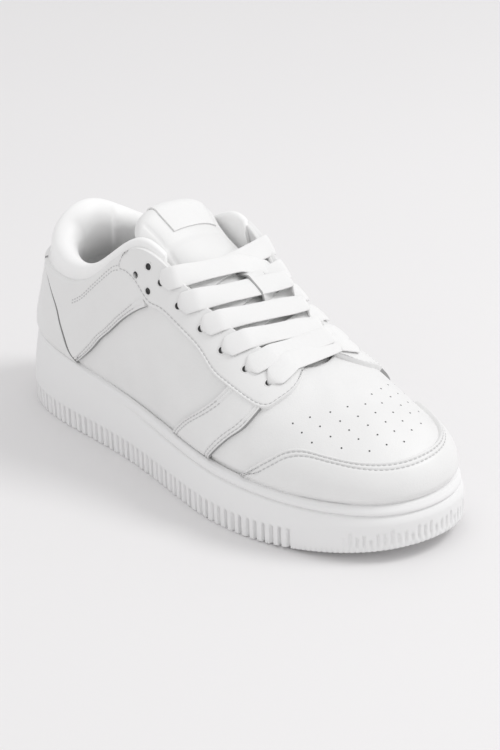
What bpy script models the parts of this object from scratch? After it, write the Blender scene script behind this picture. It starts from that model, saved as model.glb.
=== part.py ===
"""Low padded court-style dance sneaker for the right foot, standing empty on its cup sole.

+X points to the toe, -Y is the outer (lateral) side and +Z is up. The origin is on the ground under the
middle of the sole. A place on the upper is (t, v): t runs once round the sole's outline from the middle of
the heel along the lateral side to the toe and back along the medial side, and v runs from 0 at the sole's
rim to 1 at the edge of the opening.
"""
import math

import bpy
import numpy as np
from mathutils import Vector
from mathutils.geometry import delaunay_2d_cdt

MM = 0.001

# Driving sizes
SOLE_LENGTH = 275 * MM
BALL_WIDTH = 103 * MM
RIM_HEIGHT = 41 * MM
INSTEP_HEIGHT = 114 * MM
FOOT_LINE_INSET = 6.5 * MM
UPPER_WALL = 2.0 * MM
GAP = 0.3 * MM
PANEL = 1.2 * MM
EYELET_RADIUS = 2.0 * MM

# Sole
EDGE = 1.0 * MM
HEEL_STACK = 20 * MM
FORE_STACK = 12 * MM
TOE_SPRING = 8 * MM
CUP_TAPER = 3.5 * MM
RIM_LIP = 0.6 * MM
BEAD_HEIGHT = 6.5 * MM
BEAD_PROUD = 1.2 * MM
RIB_PITCH = 4.5 * MM
RIB_HEIGHT = 10.5 * MM
RIB_GROOVE = 1.0 * MM
RIB_SLOT = 1.5 * MM
BUMPER_PITCH = 3.6 * MM
BUMPER_LOW = 4.0 * MM
RIB_FADE = 2.0 * MM
TREAD_DEPTH = 1.5 * MM
TREAD_SLOT = 3.0 * MM
TREAD_MARGIN = 13 * MM

# Soft parts
INSOLE = 4.0 * MM
COLLAR_ROLL = 9.0 * MM
COLLAR_LINING = 5.0 * MM
TONGUE_THICKNESS = 11 * MM
LABEL = 0.8 * MM
LACE_WIDTH = 7.5 * MM
LACE_THICKNESS = 1.6 * MM

# Mesh density
COLUMNS = 56
ROWS = (0.0, 0.11, 0.26, 0.43, 0.60, 0.76, 0.89, 1.0)

# Sections of sole and upper round the outline. Shares: sole_x of the sole length from the heel, sole_y of
# the ball width, rim_z of the rim height, inset of the foot line's inset, top_x of the sole length from the
# middle, top_y of the ball width, top_z of the instep height, top_reach and base_reach of the section's
# chord. dip and lean are in degrees.
SECTION_COLUMNS = ("sole_x", "sole_y", "rim_z", "inset", "top_x", "top_y", "top_z",
                   "dip", "top_reach", "lean", "base_reach")
SECTIONS = {
    "heel_back":      (0.000, 0.000, 1.00, 0.77, -0.436, 0.000, 0.737, 86, 0.30, 6, 0.32),
    "heel_lat_rear":  (0.040, -0.255, 0.99, 0.77, -0.413, -0.209, 0.724, 86, 0.30, 5, 0.32),
    "heel_lat":       (0.140, -0.372, 0.94, 0.80, -0.338, -0.316, 0.710, 86, 0.30, 4, 0.32),
    "waist_lat_rear": (0.270, -0.391, 0.85, 0.89, -0.222, -0.335, 0.775, 86, 0.30, 5, 0.32),
    "waist_lat":      (0.410, -0.410, 0.77, 0.95, -0.090, -0.310, 1.000, 80, 0.28, 6, 0.32),
    "ball_lat_rear":  (0.540, -0.464, 0.73, 1.00, 0.022, -0.243, 0.851, 58, 0.32, 6, 0.36),
    "ball_lat":       (0.660, -0.502, 0.71, 1.00, 0.124, -0.175, 0.710, 40, 0.36, 6, 0.40),
    "toe_lat_rear":   (0.785, -0.460, 0.68, 1.00, 0.193, -0.104, 0.636, 26, 0.40, 8, 0.36),
    "toe_lat":        (0.895, -0.343, 0.67, 1.00, 0.217, -0.042, 0.614, 22, 0.42, 8, 0.32),
    "toe_lat_front":  (0.968, -0.180, 0.68, 1.00, 0.225, 0.005, 0.610, 20, 0.42, 8, 0.30),
    "toe_tip":        (1.000, 0.060, 0.70, 1.00, 0.226, 0.042, 0.610, 20, 0.42, 8, 0.30),
    "toe_med_front":  (0.978, 0.270, 0.70, 1.00, 0.225, 0.080, 0.610, 20, 0.42, 8, 0.30),
    "toe_med":        (0.915, 0.400, 0.68, 1.00, 0.219, 0.125, 0.614, 22, 0.42, 8, 0.32),
    "toe_med_rear":   (0.820, 0.470, 0.68, 1.00, 0.198, 0.182, 0.632, 26, 0.40, 8, 0.36),
    "ball_med":       (0.715, 0.501, 0.70, 1.00, 0.138, 0.220, 0.688, 38, 0.36, 6, 0.40),
    "ball_med_rear":  (0.590, 0.450, 0.72, 1.00, 0.036, 0.257, 0.810, 56, 0.32, 6, 0.36),
    "waist_med":      (0.450, 0.360, 0.77, 0.95, -0.080, 0.301, 0.970, 78, 0.28, 6, 0.32),
    "waist_med_rear": (0.300, 0.335, 0.85, 0.89, -0.211, 0.320, 0.807, 86, 0.30, 5, 0.32),
    "heel_med":       (0.150, 0.350, 0.94, 0.80, -0.335, 0.296, 0.737, 86, 0.30, 4, 0.32),
    "heel_med_rear":  (0.040, 0.245, 0.99, 0.77, -0.413, 0.199, 0.732, 86, 0.30, 5, 0.32),
}
TOE_TIP = list(SECTIONS).index("toe_tip")

# Lace holes of one side as (t, v) on the lateral side, from the lowest up; the last three stay unlaced.
EYELETS = ((0.356, 0.78), (0.328, 0.79), (0.301, 0.81), (0.278, 0.84), (0.254, 0.84), (0.235, 0.87),
           (0.221, 0.905), (0.208, 0.82), (0.223, 0.76))
LACED = 6

# Outlines of the overlays as (t, v) on the lateral side
EYESTAY = ((0.186, 0.88), (0.205, 0.775), (0.2225, 0.68), (0.251, 0.705), (0.278, 0.705), (0.300, 0.62),
           (0.319, 0.60), (0.339, 0.58), (0.352, 0.575), (0.361, 0.60), (0.372, 0.68), (0.393, 0.83),
           (0.412, 1.0), (0.201, 1.0), (0.190, 0.97))
QUARTER = ((0.0575, 1.0), (0.078, 0.83), (0.0965, 0.62), (0.110, 0.35), (0.1195, 0.12), (0.131, 0.085),
           (0.161, 0.385), (0.187, 0.51), (0.2185, 0.640), (0.2195, 0.672), (0.2025, 0.765), (0.1835, 0.87),
           (0.187, 0.97), (0.197, 1.0))
BAND = ((0.256, 0.012), (0.275, 0.17), (0.294, 0.32), (0.308, 0.47), (0.318, 0.585), (0.338, 0.563),
        (0.352, 0.557), (0.355, 0.54), (0.342, 0.38), (0.331, 0.26), (0.319, 0.13), (0.307, 0.012))
COUNTER_EDGE = ((0.1275, 0.012), (0.117, 0.12), (0.1075, 0.35), (0.094, 0.62), (0.075, 0.83), (0.0545, 1.0))
CAP_EDGE = ((0.342, 0.012), (0.354, 0.12), (0.369, 0.24), (0.384, 0.34), (0.400, 0.375), (0.420, 0.355),
            (0.445, 0.32), (0.475, 0.295), (0.500, 0.29))

# Padding of the collar from the heel forward: share of the collar's run, roll radius as a share of
# COLLAR_ROLL, lining as a share of COLLAR_LINING
COLLAR_RUN = 0.232
COLLAR = ((0.00, 1.00, 1.00), (0.18, 0.96, 1.00), (0.34, 0.74, 1.00), (0.48, 0.50, 0.90), (0.62, 0.38, 0.70),
          (0.82, 0.26, 0.40), (1.00, 0.19, 0.26))

# Tongue from its tucked end to the top: x of the sole length, z of the instep height, then middle, half
# width, drop of both sides and tilt to the medial side of the ball width, and thickness of the tongue's
TONGUE = ((0.270, 0.535, 0.042, 0.150, 0.030, 0.000, 0.36), (0.232, 0.578, 0.042, 0.185, 0.045, 0.000, 0.40),
          (0.193, 0.628, 0.038, 0.210, 0.064, 0.002, 0.45), (0.124, 0.708, 0.019, 0.228, 0.078, 0.010, 0.55),
          (0.050, 0.812, 0.014, 0.250, 0.088, 0.014, 0.62), (-0.022, 0.918, 0.006, 0.248, 0.078, 0.024, 0.72),
          (-0.080, 1.004, 0.002, 0.240, 0.056, 0.040, 0.85), (-0.122, 1.100, -0.002, 0.255, 0.074, 0.052, 1.00))
TONGUE_ROWS = (0.0, 0.12, 0.25, 0.38, 0.50, 0.62, 0.74, 0.86, 1.0)
TONGUE_COLUMNS = (-1.0, -0.86, -0.62, -0.32, 0.0, 0.32, 0.62, 0.86, 1.0)
TONGUE_CORNER = 0.07
CREST = (60, 90, 120)
LABEL_ROWS = TONGUE_ROWS[-2:]
LABEL_COLUMNS = TONGUE_COLUMNS[2:-2]

# Laces
LACE_SAMPLES = 7
LACE_LIFT = LACE_THICKNESS / 2 + 2.2 * MM
STAY_LIFT = GAP + PANEL + LACE_THICKNESS / 2 + 2.2 * MM
LACE_SINK = LACE_THICKNESS * 0.55
LACE_STOP = 7.5 * MM
LACE_ARCH = 2.0 * MM


def unit(vectors):
    """Vectors scaled to length one."""
    return vectors / np.linalg.norm(vectors, axis=-1, keepdims=True)


def closed_spline(keys, values, at):
    """Smooth closed curve through values at keys in [0, 1), read at the given places."""
    count = len(keys)
    width = np.diff(np.append(keys, keys[0] + 1.0))
    slope = (np.roll(values, -1, 0) - values) / width[:, None]
    before = np.roll(width, 1)
    row = np.arange(count)
    matrix = np.zeros((count, count))
    matrix[row, row] = 2 * (before + width)
    matrix[row, row - 1] = before
    matrix[row, (row + 1) % count] = width
    bend = np.linalg.solve(matrix, 6 * (slope - np.roll(slope, 1, 0)))
    at = np.mod(at, 1.0)
    low = np.clip(np.searchsorted(keys, at, side="right") - 1, 0, count - 1)
    high = (low + 1) % count
    size = width[low][:, None]
    past = (at - keys[low])[:, None]
    left = size - past
    return ((bend[low] * left ** 3 + bend[high] * past ** 3) / (6 * size)
            + (values[low] / size - bend[low] * size / 6) * left
            + (values[high] / size - bend[high] * size / 6) * past)


def section_table():
    """The section table in metres and radians."""
    scale = np.array([SOLE_LENGTH, BALL_WIDTH, RIM_HEIGHT, FOOT_LINE_INSET, SOLE_LENGTH, BALL_WIDTH,
                      INSTEP_HEIGHT, math.radians(1), 1, math.radians(1), 1])
    shift = np.zeros(len(SECTION_COLUMNS))
    shift[0] = SOLE_LENGTH / 2
    return np.array(list(SECTIONS.values())) * scale - shift


TABLE = section_table()


def station_keys():
    """Place t of each section: its share of the way round the outline."""
    step = np.linalg.norm(np.roll(TABLE[:, :2], -1, 0) - TABLE[:, :2], axis=1)
    return np.concatenate([[0.0], np.cumsum(step)[:-1]]) / step.sum()


KEYS = station_keys()


def sections(t):
    """The section values at each t, one column per entry of SECTION_COLUMNS."""
    values = closed_spline(KEYS, TABLE, np.asarray(t, float))
    return {name: values[:, k:k + 1] for k, name in enumerate(SECTION_COLUMNS)}


def outline(t):
    """The sole's outline in plan."""
    return closed_spline(KEYS, TABLE[:, :2], np.asarray(t, float))


def outward(t):
    """Unit vector in plan that points out of the sole's outline."""
    step = 1e-4
    along = outline(np.asarray(t) + step) - outline(np.asarray(t) - step)
    return unit(np.column_stack([along[:, 1], -along[:, 0]]))


def foot_line(t):
    """Line in plan where the upper meets the sole's rim."""
    return outline(t) - outward(t) * sections(t)["inset"]


def upper_face(t, v):
    """Outer face of the upper: each section is a cubic curve from the rim to the edge of the opening."""
    t, v = np.broadcast_arrays(np.asarray(t, float), np.asarray(v, float))
    shape = t.shape
    t, v = t.ravel(), v.ravel()[:, None]
    row = sections(t)
    foot = np.hstack([foot_line(t), row["rim_z"]])
    top = np.hstack([row["top_x"], row["top_y"], row["top_z"]])
    chord = np.linalg.norm(foot - top, axis=1)[:, None]
    away = unit(foot[:, :2] - top[:, :2])
    rise = np.hstack([outward(t) * np.sin(row["lean"]), np.cos(row["lean"])]) * row["base_reach"] * chord
    fall = np.hstack([away * np.cos(row["dip"]), -np.sin(row["dip"])]) * row["top_reach"] * chord
    w = 1 - v
    points = (w ** 3 * foot + 3 * v * w ** 2 * (foot + rise) + 3 * v ** 2 * w * (top + fall) + v ** 3 * top)
    return points.reshape(shape + (3,))


def upper_normal(t, v):
    """Unit normal of the upper's outer face, pointing out of the shoe."""
    step = 1e-3
    t, v = np.broadcast_arrays(np.asarray(t, float), np.asarray(v, float))
    v = np.clip(v, step, 1 - step)
    along = upper_face(t + step, v) - upper_face(t - step, v)
    up = upper_face(t, v + step) - upper_face(t, v - step)
    return unit(np.cross(along, up))


def skin(t, v, lift):
    """Point at a height over the upper's outer face; a negative lift is inside the wall."""
    return upper_face(t, v) + upper_normal(t, v) * lift


def medial(t):
    """Place on the medial side across from a place on the lateral side."""
    back = np.concatenate([[1.0], KEYS[:TOE_TIP - 1:-1]])
    return np.interp(t, KEYS[:TOE_TIP + 1], back)


def smooth(x, low, high):
    """0 below low, 1 above high, smooth between."""
    s = np.clip((x - low) / (high - low), 0, 1)
    return s * s * (3 - 2 * s)


def share_along(x):
    """Share of the sole's length from the heel."""
    return x / SOLE_LENGTH + 0.5


def ground(x):
    """Height of the sole's underside: flat, then the toe spring."""
    return TOE_SPRING * np.clip((share_along(x) - 0.70) / 0.30, 0, None) ** 2


def footbed(x):
    """Height of the floor inside the cup."""
    return HEEL_STACK + (FORE_STACK - HEEL_STACK) * smooth(share_along(x), 0.30, 0.62) + ground(x)


def facing_out(points, faces):
    """The faces, all turned round if together they enclose a negative volume."""
    points = np.array(points)
    total = 0.0
    for face in faces:
        for k in range(1, len(face) - 1):
            total += np.dot(points[face[0]], np.cross(points[face[k]], points[face[k + 1]]))
    return faces if total > 0 else [face[::-1] for face in faces]


def new_object(name, points, faces, material, flat_angle=40):
    """Mesh object shaded smooth, with sharp edges where its faces turn by more than the angle."""
    mesh = bpy.data.meshes.new(name)
    mesh.from_pydata([tuple(p) for p in points], [], facing_out(points, faces))
    mesh.shade_smooth()
    mesh.set_sharp_from_angle(angle=math.radians(flat_angle))
    item = bpy.data.objects.new(name, mesh)
    item.data.materials.append(material)
    bpy.context.scene.collection.objects.link(item)
    return item


def new_material(name, color, roughness):
    """Principled material of one colour."""
    material = bpy.data.materials.new(name)
    material.use_nodes = True
    shader = material.node_tree.nodes["Principled BSDF"]
    shader.inputs["Base Color"].default_value = (*color, 1.0)
    shader.inputs["Roughness"].default_value = roughness
    shader.inputs["Metallic"].default_value = 0.0
    return material


def cutter(name, points, faces):
    """Hidden closed shape that a Boolean modifier takes away."""
    mesh = bpy.data.meshes.new(name)
    mesh.from_pydata([tuple(p) for p in points], [], facing_out(points, faces))
    item = bpy.data.objects.new(name, mesh)
    item.hide_render = True
    item.display_type = "WIRE"
    bpy.context.scene.collection.objects.link(item)
    return item


def take_away(item, tool):
    """Cut a tool out of an object."""
    cut = item.modifiers.new(tool.name, "BOOLEAN")
    cut.operation = "DIFFERENCE"
    cut.solver = "EXACT"
    cut.object = tool


def band_faces(low, low_t, high, high_t):
    """Triangles between two closed rings, each sorted by t; the band faces out when high lies above low."""
    faces = []
    i = j = 0
    while i < len(low) or j < len(high):
        next_low = low_t[i + 1] if i + 1 < len(low) else 1.0
        next_high = high_t[j + 1] if j + 1 < len(high) else 1.0
        if j == len(high) or (i < len(low) and next_low <= next_high):
            faces.append((low[i], low[(i + 1) % len(low)], high[j % len(high)]))
            i += 1
        else:
            faces.append((low[i % len(low)], high[(j + 1) % len(high)], high[j]))
            j += 1
    return faces


def floor_faces(ring, x, facing_up):
    """Triangles across a ring, laid from the heel to the toe between its two sides."""
    tip = int(np.argmax(x))
    count = len(ring)
    side_a = list(range(0, tip + 1))
    side_b = [0] + list(range(count - 1, tip - 1, -1))
    faces = []
    i = j = 0
    while i < len(side_a) - 1 or j < len(side_b) - 1:
        go_a = j == len(side_b) - 1 or (i < len(side_a) - 1 and x[side_a[i + 1]] <= x[side_b[j + 1]])
        if go_a:
            triangle = (side_a[i], side_a[i + 1], side_b[j])
            i += 1
        else:
            triangle = (side_a[i], side_b[j + 1], side_b[j])
            j += 1
        if len(set(triangle)) == 3:
            faces.append(tuple(ring[k] for k in (triangle if facing_up else triangle[::-1])))
    return faces


class Rings:
    """Mesh built up from closed rings of points, each with its own places t."""

    def __init__(self):
        self.points = []
        self.faces = []
        self.last = None

    def add(self, t, ring):
        """Add a ring and join it to the one before."""
        first = len(self.points)
        self.points.extend(ring)
        ids = list(range(first, first + len(ring)))
        if self.last:
            self.faces += band_faces(*self.last, ids, t)
        self.last = (ids, t)
        return ids


def at_height(plan, z):
    """Points in plan at the heights z."""
    return np.column_stack([plan, np.broadcast_to(np.ravel(z), len(plan))])


def rib_marks():
    """Places t and groove depths of the ribbed rings: ribs from the heel forward and the toe bumper."""
    fine = np.linspace(0, 1, 2001)
    path = outline(fine)
    run = np.concatenate([[0], np.cumsum(np.linalg.norm(np.diff(path, axis=0), axis=1))])
    total = run[-1]

    def t_of(s):
        return np.interp(s, run, fine)

    tip = run[np.argmax(path[:, 0])]
    marks = []
    for side in (0, 1):
        half = tip if side == 0 else total - tip
        s = RIB_PITCH / 2
        while s < half:
            place = s if side == 0 else total - s
            share = share_along(outline([t_of(place)])[0, 0])
            bumper = share > 0.925
            pitch = BUMPER_PITCH if bumper else RIB_PITCH
            ribbed = bumper or share < 0.80
            if ribbed:
                for offset, depth in ((-RIB_SLOT / 2, 0), (0, RIB_GROOVE), (RIB_SLOT / 2, 0)):
                    marks.append((t_of(place + offset), depth * (0.6 if bumper else 1.0)))
            else:
                marks.append((t_of(place), 0))
            s += pitch
    marks.sort()
    return np.array(marks)


def make_sole(material):
    """Cup sole: ribs at the foot of the wall, bead round the forefoot, and the cup inside."""
    t = np.arange(COLUMNS) / COLUMNS
    plan = outline(t)
    out = outward(t)
    base = ground(plan[:, 0])
    share = share_along(plan[:, 0])
    row = sections(t)
    rim = row["rim_z"][:, 0]
    toe = smooth(share, 0.86, 0.93)
    bead = smooth(share, 0.36, 0.50)
    groove = rim - BEAD_HEIGHT
    ribs_top = base + RIB_HEIGHT
    wall_foot = ribs_top + (groove - 2 * EDGE - ribs_top) * toe

    def ring(z, inset):
        return at_height(plan - out * np.reshape(inset, (-1, 1)), z)

    def taper(z):
        return CUP_TAPER * np.clip((z - wall_foot) / (rim - wall_foot), 0, 1)

    marks = rib_marks()
    mark_t, depth = marks[:, 0], marks[:, 1]
    mark_plan = outline(mark_t)
    mark_share = share_along(mark_plan[:, 0])
    mark_toe = smooth(mark_share, 0.86, 0.93)
    mark_base = ground(mark_plan[:, 0])
    mark_ring = mark_plan - outward(mark_t) * depth[:, None]
    low = mark_base + EDGE + (BUMPER_LOW - EDGE) * mark_toe
    high = np.interp(mark_t, np.append(t, 1.0), np.append(wall_foot, wall_foot[0])) - RIB_FADE

    body = Rings()
    first = body.add(t, ring(base, EDGE))
    body.add(mark_t, at_height(mark_ring, low))
    body.add(mark_t, at_height(mark_ring, high))
    body.add(t, ring(wall_foot, 0))
    body.add(t, ring(groove - EDGE, taper(groove - EDGE)))
    body.add(t, ring(groove, taper(groove) + BEAD_PROUD * 0.7 * bead))
    body.add(t, ring(groove + EDGE, taper(groove + EDGE) - BEAD_PROUD * 0.6 * bead))
    belly = rim - BEAD_HEIGHT * 0.5
    body.add(t, ring(belly, taper(belly) - BEAD_PROUD * bead))
    body.add(t, ring(rim - EDGE, taper(rim - EDGE) - BEAD_PROUD * 0.5 * bead))
    foot = row["inset"][:, 0]
    body.add(t, ring(rim, foot - GAP - RIM_LIP))
    body.add(t, ring(rim - GAP, foot - GAP))
    inner = plan - out * (foot - GAP)[:, None]
    last = body.add(t, at_height(inner, footbed(inner[:, 0])))
    bottom = ring(base, EDGE)
    body.faces += floor_faces(first, bottom[:, 0], facing_up=False)
    body.faces += floor_faces(last, inner[:, 0], facing_up=True)
    return new_object("sole", body.points, body.faces, material, 50)


def box(low, high):
    """Corners and outward faces of a box."""
    x, y, z = zip(low, high)
    points = [(x[i], y[j], z[k]) for i in (0, 1) for j in (0, 1) for k in (0, 1)]
    faces = [(0, 1, 3, 2), (4, 6, 7, 5), (0, 4, 5, 1), (2, 3, 7, 6), (0, 2, 6, 4), (1, 5, 7, 3)]
    return points, faces


def sole_sides(share):
    """Lateral and medial y of the sole's outline at a share of its length."""
    x = (share - 0.5) * SOLE_LENGTH
    lateral = np.linspace(0, KEYS[TOE_TIP], 400)
    other = np.linspace(KEYS[TOE_TIP], 1, 400)
    a, b = outline(lateral), outline(other)[::-1]
    return np.interp(x, a[:, 0], a[:, 1]), np.interp(x, b[:, 0], b[:, 1])


def make_tread(sole):
    """Cross grooves under heel and forefoot, each closed at its ends."""
    points, faces = [], []
    for share in (0.08, 0.13, 0.18, 0.23, 0.28, 0.50, 0.55, 0.60, 0.65):
        lateral, inner = sole_sides(share)
        x = (share - 0.5) * SOLE_LENGTH
        corners, sides = box((x - TREAD_SLOT / 2, lateral + TREAD_MARGIN, -TREAD_DEPTH),
                             (x + TREAD_SLOT / 2, inner - TREAD_MARGIN, TREAD_DEPTH))
        faces += [tuple(k + len(points) for k in side) for side in sides]
        points += corners
    take_away(sole, cutter("tread_cutter", points, faces))


def make_upper(material):
    """Leather upper: outer face up from the sole's floor to the opening, and back down inside the wall."""
    t = np.arange(COLUMNS) / COLUMNS
    foot = foot_line(t)
    inside = foot - outward(t) * UPPER_WALL
    floor = footbed(foot[:, 0]) + GAP
    body = Rings()
    first = body.add(t, at_height(foot, floor))
    for v in ROWS:
        body.add(t, skin(t, v, 0))
    for v in ROWS[::-1]:
        body.add(t, skin(t, v, -UPPER_WALL))
    last = body.add(t, at_height(inside, floor))
    body.faces += band_faces(last, t, first, t)
    return new_object("upper", body.points, body.faces, material)


def make_insole(material):
    """Footbed on the sole's floor, inside the upper's wall."""
    t = np.arange(COLUMNS) / COLUMNS
    plan = foot_line(t) - outward(t) * (UPPER_WALL + GAP)
    low = footbed(plan[:, 0]) + GAP
    body = Rings()
    first = body.add(t, at_height(plan, low))
    last = body.add(t, at_height(plan, low + INSOLE))
    body.faces += floor_faces(first, plan[:, 0], facing_up=False)
    body.faces += floor_faces(last, plan[:, 0], facing_up=True)
    return new_object("insole", body.points, body.faces, material)


def panel(name, loop, low, high, material):
    """Overlay inside a loop of (t, v), cut between two faces that lie low and high over the upper."""
    scale = np.array([SOLE_LENGTH * 2.3, INSTEP_HEIGHT * 0.6])
    loop = np.array(loop, float)
    after = np.roll(loop, -1, 0)
    if np.sum(loop[:, 0] * after[:, 1] - after[:, 0] * loop[:, 1]) < 0:
        loop = loop[::-1]
    start = math.floor(loop[:, 0].min() * COLUMNS) - 1
    stop = math.ceil(loop[:, 0].max() * COLUMNS) + 1
    columns = np.arange(start, stop + 1) / COLUMNS
    grid = np.array([(t, v) for t in columns for v in ROWS])
    wide = len(ROWS)
    edges = []
    for i in range(len(columns)):
        for j in range(wide):
            here = i * wide + j
            if i + 1 < len(columns):
                edges.append((here, here + wide))
            if j + 1 < wide:
                edges.append((here, here + 1))
            if i + 1 < len(columns) and j + 1 < wide:
                edges.append((here + 1, here + wide))
    places = np.vstack([grid, loop]) * scale
    rim = list(range(len(grid), len(places)))
    result = delaunay_2d_cdt([Vector(p) for p in places], edges, [rim], 0, 1e-6)
    flat = np.array([tuple(p) for p in result[0]]) / scale
    kept = [face for face, origin in zip(result[2], result[5]) if origin]
    used = sorted({k for face in kept for k in face})
    index = {k: n for n, k in enumerate(used)}
    flat = flat[used]
    kept = [tuple(index[k] for k in face) for face in kept]
    a, b, c = (flat[[face[k] for face in kept]] for k in range(3))
    turn = (b[:, 0] - a[:, 0]) * (c[:, 1] - a[:, 1]) - (b[:, 1] - a[:, 1]) * (c[:, 0] - a[:, 0])
    kept = [face if side > 0 else face[::-1] for face, side in zip(kept, turn)]
    count = len(flat)
    points = np.vstack([skin(flat[:, 0], flat[:, 1], low), skin(flat[:, 0], flat[:, 1], high)])
    faces = [face[::-1] for face in kept] + [tuple(k + count for k in face) for face in kept]
    directed = {(face[k], face[(k + 1) % 3]) for face in kept for k in range(3)}
    for p, q in sorted(directed):
        if (q, p) not in directed:
            faces.append((p, q, q + count, p + count))
    return new_object(name, points, faces, material)


def both_sides(name, loop, material):
    """The same overlay on the lateral and the medial side."""
    mirrored = [(medial(t), v) for t, v in loop]
    return [panel(name + "_lateral", loop, GAP, GAP + PANEL, material),
            panel(name + "_medial", mirrored, GAP, GAP + PANEL, material)]


def make_overlays(material):
    """Heel counter, toe cap, and the eyestay, rear quarter and band of each side."""
    counter = list(COUNTER_EDGE) + [(-t, v) for t, v in COUNTER_EDGE[::-1]]
    cap = list(CAP_EDGE) + [(medial(t), v) for t, v in CAP_EDGE[-2::-1]]
    panel("heel_counter", counter, GAP, GAP + PANEL, material)
    panel("toe_cap", cap, GAP, GAP + PANEL, material)
    both_sides("quarter", QUARTER, material)
    both_sides("band", BAND, material)
    return both_sides("eyestay", EYESTAY, material)


def punch_eyelets(pieces):
    """Round lace holes through the eyestays and the wall under them."""
    sides = 6
    for side in ("lateral", "medial"):
        points, faces = [], []
        for t, v in EYELETS:
            t = medial(t) if side == "medial" else t
            centre = skin(t, v, 0)
            axis = upper_normal(t, v)
            across = unit(np.cross(axis, (1.0, 0.0, 0.3)))
            other = np.cross(axis, across)
            first = len(points)
            for reach in (-UPPER_WALL * 2, PANEL * 3):
                for k in range(sides):
                    angle = 2 * math.pi * k / sides
                    spoke = across * math.cos(angle) + other * math.sin(angle)
                    points.append(centre + axis * reach + spoke * EYELET_RADIUS)
            low = [first + k for k in range(sides)]
            high = [first + sides + k for k in range(sides)]
            faces += [tuple(low[::-1]), tuple(high)]
            faces += [(low[k], low[(k + 1) % sides], high[(k + 1) % sides], high[k]) for k in range(sides)]
        tool = cutter("eyelet_punch_" + side, points, faces)
        for piece in pieces:
            if piece.name.endswith(side) or piece.name == "upper":
                take_away(piece, tool)


def strip_faces(loops, closed_ends=True):
    """Faces between loops of equal length, with flat ends; loop points run clockwise seen along the way."""
    count = len(loops[0])
    faces = []
    for i in range(len(loops) - 1):
        for k in range(count):
            n = (k + 1) % count
            a, b = i * count + k, i * count + n
            c, d = (i + 1) * count + n, (i + 1) * count + k
            faces += [(a, b, c), (a, c, d)]
    if closed_ends:
        faces.append(tuple(range(count))[::-1])
        last = (len(loops) - 1) * count
        faces.append(tuple(last + k for k in range(count)))
    return faces


def collar_section(t, run):
    """Hook of padding at one place: a roll over the upper's edge and a lining down inside."""
    radius, lining = (np.interp(run, [r[0] for r in COLLAR], [r[k] for r in COLLAR]) for k in (1, 2))
    radius *= COLLAR_ROLL
    lining *= COLLAR_LINING
    top = skin(t, 1.0, 0)
    inward = -upper_normal(t, 1.0)
    up = unit(upper_face(t, 1.0) - upper_face(t, 0.97))
    seat = UPPER_WALL + 1.5 * GAP
    points = [top + up * GAP]
    for angle in (190, 150, 110, 70, 30, -10):
        turn = math.radians(angle)
        across = radius * (1 + math.cos(turn)) + 0.1 * radius
        points.append(top + inward * across + up * (GAP + radius * (0.95 + math.sin(turn))))
    rows = (0.89, 0.76, 0.60, 0.43)
    thick = (1.0, 0.9, 0.75, 0.5)
    wide = max(2.1 * radius - seat, lining)
    for v, share in zip(rows, thick):
        swell = wide if v == rows[0] else lining
        points.append(skin(t, v, -(seat + swell * share)))
    for v in rows[::-1]:
        points.append(skin(t, v, -seat))
    points.append(top + inward * seat + up * GAP)
    return points


def make_collar(material):
    """Padded roll from the lateral eyestay round the heel to the medial one."""
    reach = round(COLLAR_RUN * COLUMNS)
    loops = [collar_section(k / COLUMNS, abs(k) / reach) for k in range(reach, -reach - 1, -1)]
    points = [p for loop in loops for p in loop]
    return new_object("collar", points, strip_faces(loops), material, 60)


def tongue_values(s):
    """Tongue table read at s, from 0 at the tucked end to 1 at the top, on a smooth curve."""
    table = np.array(TONGUE) * (SOLE_LENGTH, INSTEP_HEIGHT, BALL_WIDTH, BALL_WIDTH, BALL_WIDTH,
                                BALL_WIDTH, TONGUE_THICKNESS)
    table = np.vstack([2 * table[0] - table[1], table, 2 * table[-1] - table[-2]])
    place = np.clip(np.asarray(s, float), 0, 1) * (len(TONGUE) - 1)
    k = np.clip(place.astype(int), 0, len(TONGUE) - 2)
    f = (place - k)[..., None]
    a, b, c, d = (table[k + n] for n in range(4))
    return 0.5 * (2 * b + (c - a) * f + (2 * a - 5 * b + 4 * c - d) * f ** 2
                  + (3 * b - a - 3 * c + d) * f ** 3)


def tongue_frame(s, u):
    """Front point, unit normal, unit tangent and thickness of the tongue at (s, u); u runs across it."""
    s, u = np.broadcast_arrays(np.asarray(s, float), np.asarray(u, float))
    s = s * (1 - TONGUE_CORNER * u ** 4)
    step = 1e-3
    low, high = tongue_values(np.clip(s - step, 0, 1)), tongue_values(np.clip(s + step, 0, 1))
    zero = np.zeros_like(s)
    tangent = unit(np.stack([high[..., 0] - low[..., 0], zero, high[..., 1] - low[..., 1]], -1))
    normal = np.stack([tangent[..., 2], zero, -tangent[..., 0]], -1)
    x, z, centre, half, drop, tilt, thick = np.moveaxis(tongue_values(s), -1, 0)
    thin = 0.25 + 0.75 * np.sqrt(np.clip(1 - u ** 4, 0, 1))
    middle = np.stack([x, centre + half * u, z], -1)
    front = middle - normal * (drop * u ** 2 + tilt * u + thick * (1 - thin) / 2)[..., None]
    return front, normal, tangent, thick * thin


def tongue_loop(u, rows, lift):
    """Lengthwise loop of the tongue at u: up the front, over the crest and down the back."""
    front, normal, tangent, thick = tongue_frame(rows, u)
    points = list(front + normal * lift)
    radius = thick[-1] / 2
    middle = front[-1] - normal[-1] * radius
    for angle in CREST:
        turn = math.radians(angle)
        points.append(middle + (normal[-1] * math.cos(turn) + tangent[-1] * math.sin(turn)) * (radius + lift))
    points += list(front - normal * (thick[:, None] + lift))[::-1]
    return points


def tongue_caps(count, first):
    """Faces that close a flat loop by joining its front to its back."""
    faces = [(k, k + 1, count - 2 - k, count - 1 - k) for k in range((count - 1) // 2)]
    return [tuple(first + k for k in dict.fromkeys(face)) for face in faces]


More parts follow.
